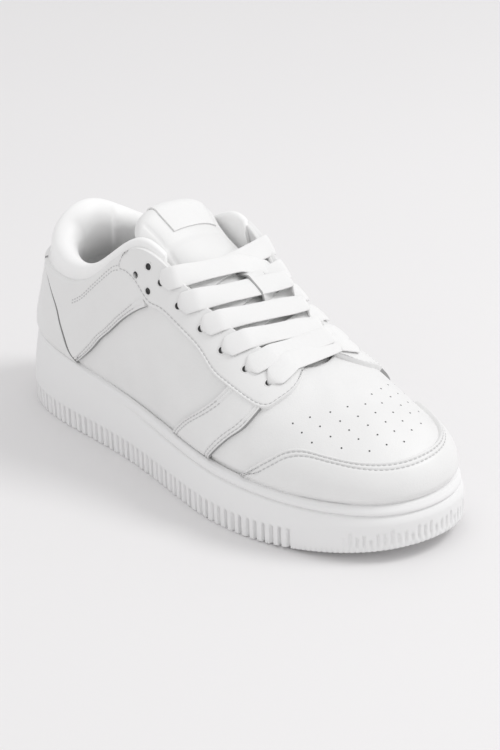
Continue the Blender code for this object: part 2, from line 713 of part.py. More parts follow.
def make_tongue(material):
    """Padded tongue with a full rounded top."""
    loops = [tongue_loop(u, TONGUE_ROWS, 0) for u in TONGUE_COLUMNS]
    count = len(loops[0])
    points = [p for loop in loops for p in loop]
    faces = strip_faces(loops, closed_ends=False)
    last = (len(loops) - 1) * count
    faces += [face[::-1] for face in tongue_caps(count, 0)]
    faces += tongue_caps(count, last)
    return new_object("tongue", points, faces, material, 60)


def make_label(material):
    """Plain strip folded over the top of the tongue."""
    loops = [tongue_loop(u, LABEL_ROWS, GAP + LABEL) + tongue_loop(u, LABEL_ROWS, GAP)[::-1]
             for u in LABEL_COLUMNS]
    count = len(loops[0])
    points = [p for loop in loops for p in loop]
    faces = strip_faces(loops, closed_ends=False)
    last = (len(loops) - 1) * count
    faces += [face[::-1] for face in tongue_caps(count, 0)]
    faces += tongue_caps(count, last)
    return new_object("tongue_label", points, faces, material, 60)


def tongue_place(x):
    """Place s on the tongue whose middle line is over x."""
    s = np.linspace(0, 1, 200)
    return np.interp(-x, -tongue_values(s)[:, 0], s)


def on_tongue(x, y, lift):
    """Point at a height over the tongue's front, and the normal there."""
    s = tongue_place(x)
    u = np.clip((y - tongue_values(s)[2]) / tongue_values(s)[3], -1, 1)
    front, normal, _, _ = tongue_frame(s, u)
    return front + normal * lift, normal


def smooth_path(points, samples):
    """Points read along a smooth curve through the given ones."""
    points = np.array(points)
    padded = np.vstack([2 * points[0] - points[1], points, 2 * points[-1] - points[-2]])
    place = np.linspace(0, len(points) - 1, samples)
    k = np.clip(place.astype(int), 0, len(points) - 2)
    f = (place - k)[:, None]
    a, b, c, d = (padded[k + n] for n in range(4))
    return 0.5 * (2 * b + (c - a) * f + (2 * a - 5 * b + 4 * c - d) * f ** 2
                  + (3 * b - a - 3 * c + d) * f ** 3)


def lace_start(row, side):
    """First points of a lace over its eyelet and the stay's edge, with their normals."""
    t, v = EYELETS[row]
    t, edge_t = (medial(t), medial(t + 0.008)) if side > 0 else (t, t + 0.008)
    points = [skin(t, v, STAY_LIFT), skin(edge_t, 0.985, STAY_LIFT)]
    return points, [upper_normal(t, v), upper_normal(edge_t, 0.985)]


def lace_path(row, side, below):
    """Middle line and normals of one lace, from its eyelet to the far side of the row below."""
    points, normals = lace_start(row, side)
    far_t = EYELETS[row - 1][0]
    far_edge = upper_face(medial(far_t) if side < 0 else far_t, 1.0)
    far_y = far_edge[1] + side * LACE_STOP
    end = np.array([np.interp(far_y * -side, below[:, 1] * -side, below[:, k]) for k in range(3)]
                   if below[0, 1] * -side < below[-1, 1] * -side else
                   [np.interp(far_y * -side, below[::-1, 1] * -side, below[::-1, k]) for k in range(3)])
    end_normal = on_tongue(end[0], end[1], 0)[1]
    end = end - end_normal * LACE_SINK
    start = points[-1]
    over = LACE_SINK if side > 0 else 0.0
    for share in (0.22, 0.50, 0.78):
        chord = start + (end - start) * share
        point, normal = on_tongue(chord[0], chord[1], LACE_LIFT + over * 4 * share * (1 - share))
        point[2] = max(point[2], chord[2] + LACE_ARCH * (1 - share))
        points.append(point)
        normals.append(normal)
    points.append(end)
    normals.append(end_normal)
    return smooth_path(points, LACE_SAMPLES), unit(smooth_path(normals, LACE_SAMPLES))


def bar_path():
    """Middle line and normals of the straight bar between the lowest eyelets."""
    points, normals = lace_start(0, -1)
    others, other_normals = lace_start(0, 1)
    low, high = points[1], others[1]
    for share in (0.3, 0.7):
        chord = low + (high - low) * share
        point, normal = on_tongue(chord[0], chord[1], LACE_LIFT)
        point[2] = max(point[2], chord[2]) + LACE_ARCH
        points.append(point)
        normals.append(normal)
    points += others[::-1]
    normals += other_normals[::-1]
    return smooth_path(points, LACE_SAMPLES), unit(smooth_path(normals, LACE_SAMPLES))


def flat_lace(name, path, normals):
    """Closed flat strap along a path."""
    along = unit(np.gradient(path, axis=0))
    across = unit(np.cross(along, normals))
    normals = np.cross(across, along)
    loops = []
    for p, w, n in zip(path, across, normals):
        wide, thick = w * LACE_WIDTH / 2, n * LACE_THICKNESS / 2
        loops.append([p - wide - thick, p + wide - thick, p + wide + thick, p - wide + thick])
    return [p for loop in loops for p in loop], strip_faces(loops)


def make_laces(material):
    """The bar and the crossings of the lace, joined."""
    path, normals = bar_path()
    points, faces = flat_lace("bar", path, normals)
    laces = new_object("laces", points, faces, material, 50)
    below = {-1: path, 1: path}
    for row in range(1, LACED):
        paths = {}
        for side in (-1, 1):
            path, normals = lace_path(row, side, below[-side])
            paths[side] = path
            points, faces = flat_lace("lace", path, normals)
            tool = cutter("lace_" + ("lateral", "medial")[side > 0] + "_" + str(row + 1), points, faces)
            join = laces.modifiers.new(tool.name, "BOOLEAN")
            join.operation = "UNION"
            join.solver = "EXACT"
            join.object = tool
        below = paths
    return laces


def main():
    """Clear the scene and build the shoe."""
    for item in list(bpy.data.objects):
        bpy.data.objects.remove(item, do_unlink=True)
    leather = new_material("white_leather", (0.86, 0.86, 0.86), 0.45)
    lining = new_material("white_lining", (0.88, 0.88, 0.88), 0.7)
    rubber = new_material("white_rubber", (0.84, 0.84, 0.84), 0.5)
    lace = new_material("white_lace", (0.9, 0.9, 0.9), 0.8)
    woven = new_material("white_label", (0.9, 0.9, 0.9), 0.6)
    sole = make_sole(rubber)
    make_tread(sole)
    upper = make_upper(leather)
    make_insole(lining)
    stays = make_overlays(leather)
    punch_eyelets(stays + [upper])
    make_collar(leather)
    make_tongue(leather)
    make_label(woven)
    make_laces(lace)


main()
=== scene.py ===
"""Dance sneaker dressed over its solids: leather, padding, stitching, laces, ribbed sole and a pale studio.

A place on the upper is (t, v): t runs once round the sole's outline from the middle of the heel along the
outer (lateral, -Y) side to the toe and back along the inner side, and v runs from 0 at the sole's rim to 1
at the edge of the opening. Lengths are in metres, +X points to the toe and +Z is up.
"""
import math

import bpy
import numpy as np
from bpy.props import FloatProperty, FloatVectorProperty, PointerProperty
from mathutils import Matrix


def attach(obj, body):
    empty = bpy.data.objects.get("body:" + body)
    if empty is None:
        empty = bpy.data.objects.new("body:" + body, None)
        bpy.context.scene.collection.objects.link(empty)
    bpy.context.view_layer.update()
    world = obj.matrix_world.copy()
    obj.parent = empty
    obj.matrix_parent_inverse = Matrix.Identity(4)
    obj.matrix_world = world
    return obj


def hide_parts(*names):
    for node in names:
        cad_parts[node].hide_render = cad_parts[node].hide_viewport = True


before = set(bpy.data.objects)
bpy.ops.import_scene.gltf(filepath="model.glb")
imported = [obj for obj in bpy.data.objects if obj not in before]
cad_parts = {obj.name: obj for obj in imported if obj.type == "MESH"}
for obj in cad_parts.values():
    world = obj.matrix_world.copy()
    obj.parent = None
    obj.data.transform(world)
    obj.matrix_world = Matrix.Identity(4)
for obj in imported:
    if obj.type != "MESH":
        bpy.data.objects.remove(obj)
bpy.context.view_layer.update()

bl_info = {
    "name": "Dance Sneaker",
    "version": (1, 0, 0),
    "blender": (4, 5, 0),
    "location": "View3D > Sidebar > Sneaker",
    "description": "Dresses the sneaker's solids with leather, padding, stitching, laces and a ribbed sole",
    "category": "Add Mesh",
}

MM = 0.001

# Sizes shared with the solids
SOLE_LENGTH = 275 * MM
BALL_WIDTH = 103 * MM
RIM_HEIGHT = 41 * MM
INSTEP_HEIGHT = 114 * MM
FOOT_LINE_INSET = 6.5 * MM
UPPER_WALL = 2.0 * MM
GAP = 0.3 * MM
EYELET_RADIUS = 2.0 * MM
HEEL_STACK = 20 * MM
FORE_STACK = 12 * MM
TOE_SPRING = 8 * MM
CUP_TAPER = 3.5 * MM
BEAD_HEIGHT = 4.6 * MM
BEAD_PROUD = 0.9 * MM
RIB_PITCH = 4.5 * MM
RIB_HEIGHT = 10.5 * MM
RIB_DEPTH = 2.0 * MM
BUMPER_DEPTH = 0.95 * MM
INSOLE = 4.0 * MM
STAY_THICKNESS = 1.9 * MM
COUNTER_GROOVE = 0.0020
SIDE_SEAM_APART = 0.034
SEAM_PRESS = 0.45 * MM
NEEDLE_HOLE = 0.34 * MM
LACE_OVER = 1.7 * MM
LACE_FALL = 9 * MM
LACE_REACH = (3.5 * MM, 9 * MM)
COLLAR_ROLL = 9.0 * MM
COLLAR_LINING = 5.0 * MM
TONGUE_THICKNESS = 11 * MM
TONGUE_CORNER = 0.07

# Sections of sole and upper round the outline. Shares: sole_x of the sole length from the heel, sole_y of
# the ball width, rim_z of the rim height, inset of the foot line's inset, top_x of the sole length from the
# middle, top_y of the ball width, top_z of the instep height, top_reach and base_reach of the section's
# chord. dip and lean are in degrees.
SECTION_COLUMNS = ("sole_x", "sole_y", "rim_z", "inset", "top_x", "top_y", "top_z",
                   "dip", "top_reach", "lean", "base_reach")
SECTIONS = {
    "heel_back":      (0.000, 0.000, 1.00, 0.77, -0.436, 0.000, 0.737, 86, 0.30, 6, 0.32),
    "heel_lat_rear":  (0.040, -0.255, 0.99, 0.77, -0.413, -0.209, 0.724, 86, 0.30, 5, 0.32),
    "heel_lat":       (0.140, -0.372, 0.94, 0.80, -0.338, -0.316, 0.710, 86, 0.30, 4, 0.32),
    "waist_lat_rear": (0.270, -0.391, 0.85, 0.89, -0.222, -0.335, 0.775, 86, 0.30, 5, 0.32),
    "waist_lat":      (0.410, -0.410, 0.77, 0.95, -0.090, -0.310, 1.000, 80, 0.28, 6, 0.32),
    "ball_lat_rear":  (0.540, -0.464, 0.73, 1.00, 0.022, -0.243, 0.851, 58, 0.32, 6, 0.36),
    "ball_lat":       (0.660, -0.502, 0.71, 1.00, 0.124, -0.175, 0.710, 40, 0.36, 6, 0.40),
    "toe_lat_rear":   (0.785, -0.460, 0.68, 1.00, 0.193, -0.104, 0.636, 26, 0.40, 8, 0.36),
    "toe_lat":        (0.895, -0.343, 0.67, 1.00, 0.217, -0.042, 0.614, 22, 0.42, 8, 0.32),
    "toe_lat_front":  (0.968, -0.180, 0.68, 1.00, 0.225, 0.005, 0.610, 20, 0.42, 8, 0.30),
    "toe_tip":        (1.000, 0.060, 0.70, 1.00, 0.226, 0.042, 0.610, 20, 0.42, 8, 0.30),
    "toe_med_front":  (0.978, 0.270, 0.70, 1.00, 0.225, 0.080, 0.610, 20, 0.42, 8, 0.30),
    "toe_med":        (0.915, 0.400, 0.68, 1.00, 0.219, 0.125, 0.614, 22, 0.42, 8, 0.32),
    "toe_med_rear":   (0.820, 0.470, 0.68, 1.00, 0.198, 0.182, 0.632, 26, 0.40, 8, 0.36),
    "ball_med":       (0.715, 0.501, 0.70, 1.00, 0.138, 0.220, 0.688, 38, 0.36, 6, 0.40),
    "ball_med_rear":  (0.590, 0.450, 0.72, 1.00, 0.036, 0.257, 0.810, 56, 0.32, 6, 0.36),
    "waist_med":      (0.450, 0.360, 0.77, 0.95, -0.080, 0.301, 0.970, 78, 0.28, 6, 0.32),
    "waist_med_rear": (0.300, 0.335, 0.85, 0.89, -0.211, 0.320, 0.807, 86, 0.30, 5, 0.32),
    "heel_med":       (0.150, 0.350, 0.94, 0.80, -0.335, 0.296, 0.737, 86, 0.30, 4, 0.32),
    "heel_med_rear":  (0.040, 0.245, 0.99, 0.77, -0.413, 0.199, 0.732, 86, 0.30, 5, 0.32),
}
TOE_TIP = list(SECTIONS).index("toe_tip")

# Lace holes as (t, v) on the lateral side, from the lowest up; the last three stay unlaced. Those of the
# medial side lie across from them, moved by MEDIAL_SHIFT, and each run of lace dives under the far stay at
# the share DIVE of the way from its own row to the row below.
EYELETS = ((0.356, 0.78), (0.328, 0.79), (0.301, 0.81), (0.278, 0.84), (0.254, 0.84), (0.235, 0.87),
           (0.221, 0.905), (0.208, 0.82), (0.223, 0.76))
LACED = 6
MEDIAL_SHIFT = -0.0065
DIVE = {"lateral": 1.30, "medial": 1.38}

# Overlays as rows of (edge t, edge v, back t, back v) on the lateral side: the edge is the stitched border
# and each row is a line across the panel from that border to its back. The first rows of the quarter have
# their back beside the heel counter, a narrow groove away.
EYESTAY = ((0.1990, 0.990, 0.1995, 1.0), (0.1895, 0.960, 0.2010, 1.0), (0.1860, 0.880, 0.2040, 1.0),
           (0.1950, 0.825, 0.2090, 1.0), (0.2060, 0.765, 0.2150, 1.0), (0.2225, 0.680, 0.2320, 1.0),
           (0.2370, 0.700, 0.2430, 1.0), (0.2510, 0.708, 0.2540, 1.0), (0.2780, 0.700, 0.2780, 1.0),
           (0.3000, 0.622, 0.2990, 1.0), (0.3190, 0.600, 0.3180, 1.0), (0.3390, 0.580, 0.3370, 1.0),
           (0.3520, 0.574, 0.3530, 1.0), (0.3620, 0.600, 0.3660, 1.0), (0.3720, 0.680, 0.3790, 1.0),
           (0.3930, 0.830, 0.3970, 1.0), (0.4120, 0.990, 0.4115, 1.0))
QUARTER = ((0.1290, 0.050), (0.1390, 0.165), (0.1500, 0.280), (0.1610, 0.385), (0.1740, 0.450),
           (0.1870, 0.510), (0.2020, 0.570, 0.0950, 1.000), (0.2120, 0.612, 0.1450, 1.000),
           (0.2210, 0.655, 0.1890, 1.000))
BAND = ((0.2560, 0.010, 0.3070, 0.010), (0.2750, 0.170, 0.3190, 0.130), (0.2940, 0.320, 0.3310, 0.260),
        (0.3080, 0.470, 0.3420, 0.380), (0.3180, 0.620, 0.3560, 0.600))
COUNTER = ((0.1285, 0.010), (0.1170, 0.120), (0.1075, 0.350), (0.0940, 0.620), (0.0750, 0.830), (0.0545, 1.0))
SIDE_SEAM = ((0.1180, 0.710), (0.1350, 0.800), (0.1520, 0.890), (0.1760, 0.915), (0.1900, 0.880))
CAP = ((0.3420, 0.012), (0.3540, 0.120), (0.3690, 0.240), (0.3840, 0.340), (0.4000, 0.375), (0.4200, 0.355),
       (0.4450, 0.320), (0.4750, 0.295), (0.5000, 0.290))

# Padding of the collar from the heel forward: share of the collar's run, roll radius as a share of
# COLLAR_ROLL, lining as a share of COLLAR_LINING
COLLAR_RUN = 0.2335
COLLAR = ((0.00, 1.00, 1.00), (0.18, 0.96, 1.00), (0.34, 0.74, 1.00), (0.48, 0.50, 0.90), (0.62, 0.38, 0.70),
          (0.82, 0.26, 0.40), (1.00, 0.19, 0.26))

# Tongue from its tucked end to the top: x of the sole length, z of the instep height, then middle, half
# width, drop of both sides and tilt to the medial side of the ball width, and thickness of the tongue's
TONGUE = ((0.270, 0.535, 0.042, 0.150, 0.030, 0.000, 0.36), (0.232, 0.578, 0.042, 0.185, 0.045, 0.000, 0.40),
          (0.193, 0.628, 0.038, 0.210, 0.064, 0.002, 0.45), (0.124, 0.708, 0.019, 0.228, 0.078, 0.010, 0.55),
          (0.050, 0.812, 0.014, 0.250, 0.088, 0.014, 0.62), (-0.022, 0.918, 0.006, 0.248, 0.078, 0.024, 0.72),
          (-0.080, 1.000, -0.002, 0.243, 0.054, 0.040, 0.85),
          (-0.122, 1.082, -0.014, 0.276, 0.056, 0.046, 1.00))

# Loop that holds the laces on the tongue: s of its two ends, u of its two sides, how far it turns, its rise
KEEPER = (0.485, 0.645, 0.06, 0.55)
KEEPER_SLANT = 0.02
KEEPER_ARCH = 4.4 * MM

# Punched holes of the toe: y of a row and the x of its holes, in millimetres, seen from above
PERFORATIONS = ((-28, (76.5, 82.5, 89)), (-21, (80.5, 87, 94, 101)), (-13, (85.5, 92, 98, 104, 111)),
                (-5, (88.5, 95.5, 102, 108, 114)), (3, (92, 98.5, 105, 111, 117)),
                (11, (88, 95, 102, 108, 114)),
                (19, (86, 92.5, 99, 105, 112)), (27, (83, 89.5, 96, 103)), (34, (80, 86.5, 93)))


# Settings


class SneakerSizes(bpy.types.PropertyGroup):
    """Sizes of what the scene adds to the solids."""

    panel: FloatProperty(name="Overlay", description="Thickness of the stitched overlays",
                         default=1.5 * MM, min=0.5 * MM, max=3 * MM, unit="LENGTH")
    stitch: FloatProperty(name="Stitch", description="Length of one stitch",
                          default=1.9 * MM, min=1 * MM, max=5 * MM, unit="LENGTH")
    thread: FloatProperty(name="Thread", description="Width of the sewing thread",
                          default=0.62 * MM, min=0.2 * MM, max=2 * MM, unit="LENGTH")
    lace_width: FloatProperty(name="Lace width", description="Width of the flat lace",
                              default=10.8 * MM, min=4 * MM, max=12 * MM, unit="LENGTH")
    lace_thickness: FloatProperty(name="Lace thickness", description="Thickness of the flat lace",
                                  default=1.5 * MM, min=0.5 * MM, max=4 * MM, unit="LENGTH")
    perforation: FloatProperty(name="Perforation", description="Radius of the punched holes of the toe",
                               default=0.46 * MM, min=0.3 * MM, max=2 * MM, unit="LENGTH")


class SneakerColours(bpy.types.PropertyGroup):
    """Colours of the shoe and the studio."""

    leather: FloatVectorProperty(name="Leather", description="Colour of the upper", subtype="COLOR",
                                 default=(0.82, 0.82, 0.816), size=3, min=0, max=1)
    # The collar's paler white paints light into its roll and lining that the lamps don't bring there
    collar: FloatVectorProperty(name="Collar", description="Colour of the collar's roll and lining",
                                subtype="COLOR", default=(0.94, 0.94, 0.936), size=3, min=0, max=1)
    rubber: FloatVectorProperty(name="Rubber", description="Colour of the sole", subtype="COLOR",
                                default=(0.85, 0.85, 0.846), size=3, min=0, max=1)
    lace: FloatVectorProperty(name="Lace", description="Colour of the laces and the label", subtype="COLOR",
                              default=(0.88, 0.88, 0.876), size=3, min=0, max=1)
    # The thread's grey is darker than the off-white thread: it partly paints the shade on the stitches
    thread: FloatVectorProperty(name="Thread", description="Colour of the sewing thread", subtype="COLOR",
                                default=(0.62, 0.62, 0.62), size=3, min=0, max=1)
    # Grey of the cut edges: partly the leather's own cut edge, partly painted shade under the raised edges of
    # the overlays and the keeper
    edge: FloatVectorProperty(name="Cut edge", description="Colour of the leather's cut edges",
                              subtype="COLOR", default=(0.36, 0.36, 0.36), size=3, min=0, max=1)
    # Dark floor of punched, needle and lace holes: painted shade in place of the holes' depth
    hole: FloatVectorProperty(name="Hole", description="Colour deep inside the holes", subtype="COLOR",
                              default=(0.10, 0.10, 0.10), size=3, min=0, max=1)
    studio: FloatVectorProperty(name="Studio", description="Colour of the floor", subtype="COLOR",
                                default=(0.82, 0.812, 0.814), size=3, min=0, max=1)


# The shoe's own functions


def unit(vectors):
    """Vectors scaled to length one."""
    return vectors / np.maximum(np.linalg.norm(vectors, axis=-1, keepdims=True), 1e-12)


def closed_spline(keys, values, at):
    """Smooth closed curve: cubic pieces through values at keys in [0, 1) with equal bend where they meet."""
    count = len(keys)
    width = np.diff(np.append(keys, keys[0] + 1.0))
    slope = (np.roll(values, -1, 0) - values) / width[:, None]
    before = np.roll(width, 1)
    row = np.arange(count)
    matrix = np.zeros((count, count))
    matrix[row, row] = 2 * (before + width)
    matrix[row, row - 1] = before
    matrix[row, (row + 1) % count] = width
    bend = np.linalg.solve(matrix, 6 * (slope - np.roll(slope, 1, 0)))
    at = np.mod(at, 1.0)
    low = np.clip(np.searchsorted(keys, at, side="right") - 1, 0, count - 1)
    high = (low + 1) % count
    size = width[low][:, None]
    past = (at - keys[low])[:, None]
    left = size - past
    return ((bend[low] * left ** 3 + bend[high] * past ** 3) / (6 * size)
            + (values[low] / size - bend[low] * size / 6) * left
            + (values[high] / size - bend[high] * size / 6) * past)


def open_curve(rows, at):
    """Smooth open curve through evenly keyed rows: a cubic per step whose slope is half the next row less
    the last one, read at places from 0 to 1."""
    rows = np.asarray(rows, float)
    rows = np.vstack([2 * rows[0] - rows[1], rows, 2 * rows[-1] - rows[-2]])
    place = np.clip(np.asarray(at, float), 0, 1) * (len(rows) - 3)
    k = np.clip(place.astype(int), 0, len(rows) - 4)
    f = (place - k)[..., None]
    a, b, c, d = (rows[k + n] for n in range(4))
    return 0.5 * (2 * b + (c - a) * f + (2 * a - 5 * b + 4 * c - d) * f ** 2
                  + (3 * b - a - 3 * c + d) * f ** 3)


def section_table():
    """The section table in metres and radians."""
    scale = np.array([SOLE_LENGTH, BALL_WIDTH, RIM_HEIGHT, FOOT_LINE_INSET, SOLE_LENGTH, BALL_WIDTH,
                      INSTEP_HEIGHT, math.radians(1), 1, math.radians(1), 1])
    shift = np.zeros(len(SECTION_COLUMNS))
    shift[0] = SOLE_LENGTH / 2
    return np.array(list(SECTIONS.values())) * scale - shift


TABLE = section_table()
STEPS = np.linalg.norm(np.roll(TABLE[:, :2], -1, 0) - TABLE[:, :2], axis=1)
KEYS = np.concatenate([[0.0], np.cumsum(STEPS)[:-1]]) / STEPS.sum()


def sections(t):
    """The section values at each t, one column per entry of SECTION_COLUMNS."""
    values = closed_spline(KEYS, TABLE, np.asarray(t, float))
    return {name: values[:, k:k + 1] for k, name in enumerate(SECTION_COLUMNS)}


def outline(t):
    """The sole's outline in plan."""
    return closed_spline(KEYS, TABLE[:, :2], np.asarray(t, float))


def outward(t):
    """Unit vector in plan that points out of the sole's outline."""
    step = 1e-4
    along = outline(np.asarray(t) + step) - outline(np.asarray(t) - step)
    return unit(np.column_stack([along[:, 1], -along[:, 0]]))


def foot_line(t):
    """Line in plan where the upper meets the sole's rim."""
    return outline(t) - outward(t) * sections(t)["inset"]


def upper_face(t, v):
    """Outer face of the upper: a cubic curve with four control points in each section, from the rim up a
    leaning tangent, and into the edge of the opening along a dipping one."""
    t, v = np.broadcast_arrays(np.asarray(t, float), np.asarray(v, float))
    shape = t.shape
    t, v = t.ravel(), v.ravel()[:, None]
    row = sections(t)
    foot = np.hstack([foot_line(t), row["rim_z"]])
    top = np.hstack([row["top_x"], row["top_y"], row["top_z"]])
    chord = np.linalg.norm(foot - top, axis=1)[:, None]
    away = unit(foot[:, :2] - top[:, :2])
    rise = np.hstack([outward(t) * np.sin(row["lean"]), np.cos(row["lean"])]) * row["base_reach"] * chord
    fall = np.hstack([away * np.cos(row["dip"]), -np.sin(row["dip"])]) * row["top_reach"] * chord
    w = 1 - v
    points = (w ** 3 * foot + 3 * v * w ** 2 * (foot + rise) + 3 * v ** 2 * w * (top + fall) + v ** 3 * top)
    return points.reshape(shape + (3,))


def upper_normal(t, v):
    """Unit normal of the upper's outer face, pointing out of the shoe: the cross product
    of its two slopes."""
    step = 1e-3
    t, v = np.broadcast_arrays(np.asarray(t, float), np.asarray(v, float))
    v = np.clip(v, step, 1 - step)
    along = upper_face(t + step, v) - upper_face(t - step, v)
    up = upper_face(t, v + step) - upper_face(t, v - step)
    return unit(np.cross(along, up))


def skin(t, v, lift):
    """Point at a height over the upper's outer face; a negative lift is inside the wall."""
    lift = np.asarray(lift, float)
    return upper_face(t, v) + upper_normal(t, v) * lift[..., None]


def medial(t):
    """Place on the medial side across from a place on the lateral side."""
    back = np.concatenate([[1.0], KEYS[:TOE_TIP - 1:-1]])
    return np.interp(t, KEYS[:TOE_TIP + 1], back)


def eyelet(row, side):
    """Place (t, v) of a lace hole on the lateral (0) or medial (1) side."""
    t, v = EYELETS[row]
    shift = MEDIAL_SHIFT if row < LACED else 0.0
    return (medial(t + shift), v) if side else (t, v)


def smooth(x, low, high):
    """0 below low, 1 above high, and 3s^2 - 2s^3 between."""
    s = np.clip((x - low) / (high - low), 0, 1)
    return s * s * (3 - 2 * s)


def bump(x, middle, width):
    """Bell of height one: e to the minus square of the distance over the width."""
    return np.exp(-((x - middle) / width) ** 2)


def share_along(x):
    """Share of the sole's length from the heel."""
    return x / SOLE_LENGTH + 0.5


def ground(x):
    """Height of the sole's underside: flat, then the toe spring."""
    return TOE_SPRING * np.clip((share_along(x) - 0.70) / 0.30, 0, None) ** 2


def footbed(x):
    """Height of the floor inside the cup."""
    return HEEL_STACK + (FORE_STACK - HEEL_STACK) * smooth(share_along(x), 0.30, 0.62) + ground(x)


# Meshes


def weld(points, faces):
    """Points that share a place become one, and faces lose the corners that fell together."""
    keys = np.round(points / 2e-6).astype(np.int64)
    _, first, index = np.unique(keys, axis=0, return_index=True, return_inverse=True)
    index = index.ravel()
    faces = index[faces]
    keep = faces != np.roll(faces, 1, axis=1)
    return points[first], faces, keep


def add_mesh(name, points, faces, materials, uv=None, kinds=None, sharp=None):
    """Mesh object at the origin from an array of points and one of four-cornered faces.

    Points in one place are welded, so poles and seams are closed, and a closed shell is turned to face out
    by the sign of its volume: a sixth of the sum of corner . (corner x corner) over its triangles."""
    faces = np.asarray(faces)
    welded, linked, keep = weld(points, faces)
    corners = keep.sum(1)
    live = corners >= 3
    linked, keep, source = linked[live], keep[live], faces[live]
    counts = keep.sum(1)
    loops = linked[keep]
    loop_source = source[keep]
    starts = np.concatenate([[0], np.cumsum(counts)[:-1]])
    a, b, c = welded[loops[starts]], welded[loops[starts + 1]], welded[loops[starts + 2]]
    volume = np.einsum("ij,ij->", a, np.cross(b, c))
    quads = counts == 4
    d = welded[loops[starts[quads] + 3]]
    volume += np.einsum("ij,ij->", a[quads], np.cross(c[quads], d))
    mesh = bpy.data.meshes.new(name)
    mesh.vertices.add(len(welded))
    mesh.vertices.foreach_set("co", welded.astype(np.float32).ravel())
    mesh.loops.add(len(loops))
    mesh.polygons.add(len(counts))
    mesh.loops.foreach_set("vertex_index", loops.astype(np.int32))
    mesh.polygons.foreach_set("loop_start", starts.astype(np.int32))
    if kinds is not None:
        mesh.polygons.foreach_set("material_index", np.asarray(kinds)[live].astype(np.int32))
    if uv is not None:
        layer = mesh.uv_layers.new(name="surface")
        layer.data.foreach_set("uv", uv[loop_source].astype(np.float32).ravel())
    mesh.update(calc_edges=True)
    mesh.validate()
    if volume < 0:
        mesh.flip_normals()
    mesh.shade_smooth()
    if sharp:
        mesh.set_sharp_from_angle(angle=math.radians(sharp))
    for material in materials:
        mesh.materials.append(material)
    item = bpy.data.objects.new(name, mesh)
    bpy.context.scene.collection.objects.link(item)
    return item


def grid_faces(rows, columns, around=False, along=False):
    """Faces of a grid of points, closed over its first direction if around and over its second if along."""
    i, j = np.meshgrid(np.arange(rows - (not around)), np.arange(columns - (not along)), indexing="ij")
    i, j = i.ravel(), j.ravel()
    n, m = (i + 1) % rows, (j + 1) % columns
    return np.stack([i * columns + j, n * columns + j, n * columns + m, i * columns + m], 1)


def lengths(points, axis):
    """Length run along a grid of points in one direction, starting from 0."""
    step = np.linalg.norm(np.diff(points, axis=axis), axis=-1)
    run = np.cumsum(step, axis=axis)
    return np.concatenate([np.zeros_like(np.take(run, [0], axis=axis)), run], axis=axis)


def surface(name, points, materials, around=False, along=False, sharp=None, kinds=None):
    """Piece from a grid of points, with its UV map in metres along the grid's two directions."""
    rows, columns = points.shape[:2]
    across = lengths(points, 0)
    down = lengths(points, 1)
    uv = np.stack([across.mean(1)[:, None] + across * 0, down], -1).reshape(-1, 2)
    faces = grid_faces(rows, columns, around, along)
    return add_mesh(name, points.reshape(-1, 3), faces, materials, uv, kinds=kinds, sharp=sharp)


def shell(name, outer, inner, materials, sharp=None, shaded_edge=(0, 0, 1)):
    """Closed piece between two equal grids of points: the outer one, the inner one and the strip round their
    edges, made as one grid that runs out on the outer face and back on the inner one. The last argument gives
    how many columns beside its first and its last edge take the second material, a grey cut edge that also
    paints the shade under the piece's raised edge, and to which share of the rows the last edge does."""
    loop = np.concatenate([outer, inner[:, ::-1]], axis=1)
    ends = np.concatenate([loop[:1], loop, loop[-1:]], axis=0)
    middle = (outer[0] + inner[0]) / 2, (outer[-1] + inner[-1]) / 2
    ends[0] = np.concatenate([middle[0], middle[0][::-1]])
    ends[-1] = np.concatenate([middle[1], middle[1][::-1]])
    wide, every = outer.shape[1], loop.shape[1]
    column = np.tile(np.arange(every), ends.shape[0] - 1)
    share = np.repeat(np.arange(ends.shape[0] - 1), every) / ends.shape[0]
    # faces of the grey cut edge, painted shade under the piece's raised edge
    cut = np.zeros(len(column), int)
    if shaded_edge[0]:
        cut |= (column < shaded_edge[0]) | (column == every - 1)
    if shaded_edge[1]:
        cut |= (column >= wide - 1 - shaded_edge[1]) & (column <= wide - 1) & (share < shaded_edge[2])
    return surface(name, ends, materials, along=True, sharp=sharp, kinds=cut)


def finish_piece(item, slot, *nodes):
    """Parent a piece to the shoe's body and let it stand for solids; its slot argument is not used."""
    if nodes:
        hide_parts(*nodes)
    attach(item, "root")
    return item


# Materials


def shader(name, color, roughness, **sockets):
    """New Principled material and a helper that adds linked nodes to it."""
    material = bpy.data.materials.new(name)
    material.use_nodes = True
    tree = material.node_tree
    body = tree.nodes["Principled BSDF"]
    body.inputs["Base Color"].default_value = (*color, 1)
    body.inputs["Roughness"].default_value = roughness
    for socket, value in sockets.items():
        body.inputs[socket.replace("_", " ")].default_value = value

    def node(kind, inputs=(), **values):
        made = tree.nodes.new(kind)
        for key, value in values.items():
            setattr(made, key, value)
        for key, value in dict(inputs).items():
            if isinstance(value, bpy.types.NodeSocket):
                tree.links.new(value, made.inputs[key])
            else:
                made.inputs[key].default_value = value
        return made

    return material, tree, body, node


def add_bump(tree, body, node, height, strength, distance):
    """Bump from a height socket into the shader's normal, added to any bump that is there."""
    made = node("ShaderNodeBump", {"Strength": strength, "Distance": distance, "Height": height})
    if body.inputs["Normal"].is_linked:
        tree.links.new(body.inputs["Normal"].links[0].from_socket, made.inputs["Normal"])
    tree.links.new(made.outputs["Normal"], body.inputs["Normal"])


def tint(tree, body, node, factor, low, high):
    """Base colour that runs from low to high with a factor socket."""
    ramp = node("ShaderNodeValToRGB", {"Fac": factor})
    ramp.color_ramp.elements[0].color = (*low, 1)
    ramp.color_ramp.elements[1].color = (*high, 1)
    tree.links.new(ramp.outputs["Color"], body.inputs["Base Color"])
    return ramp


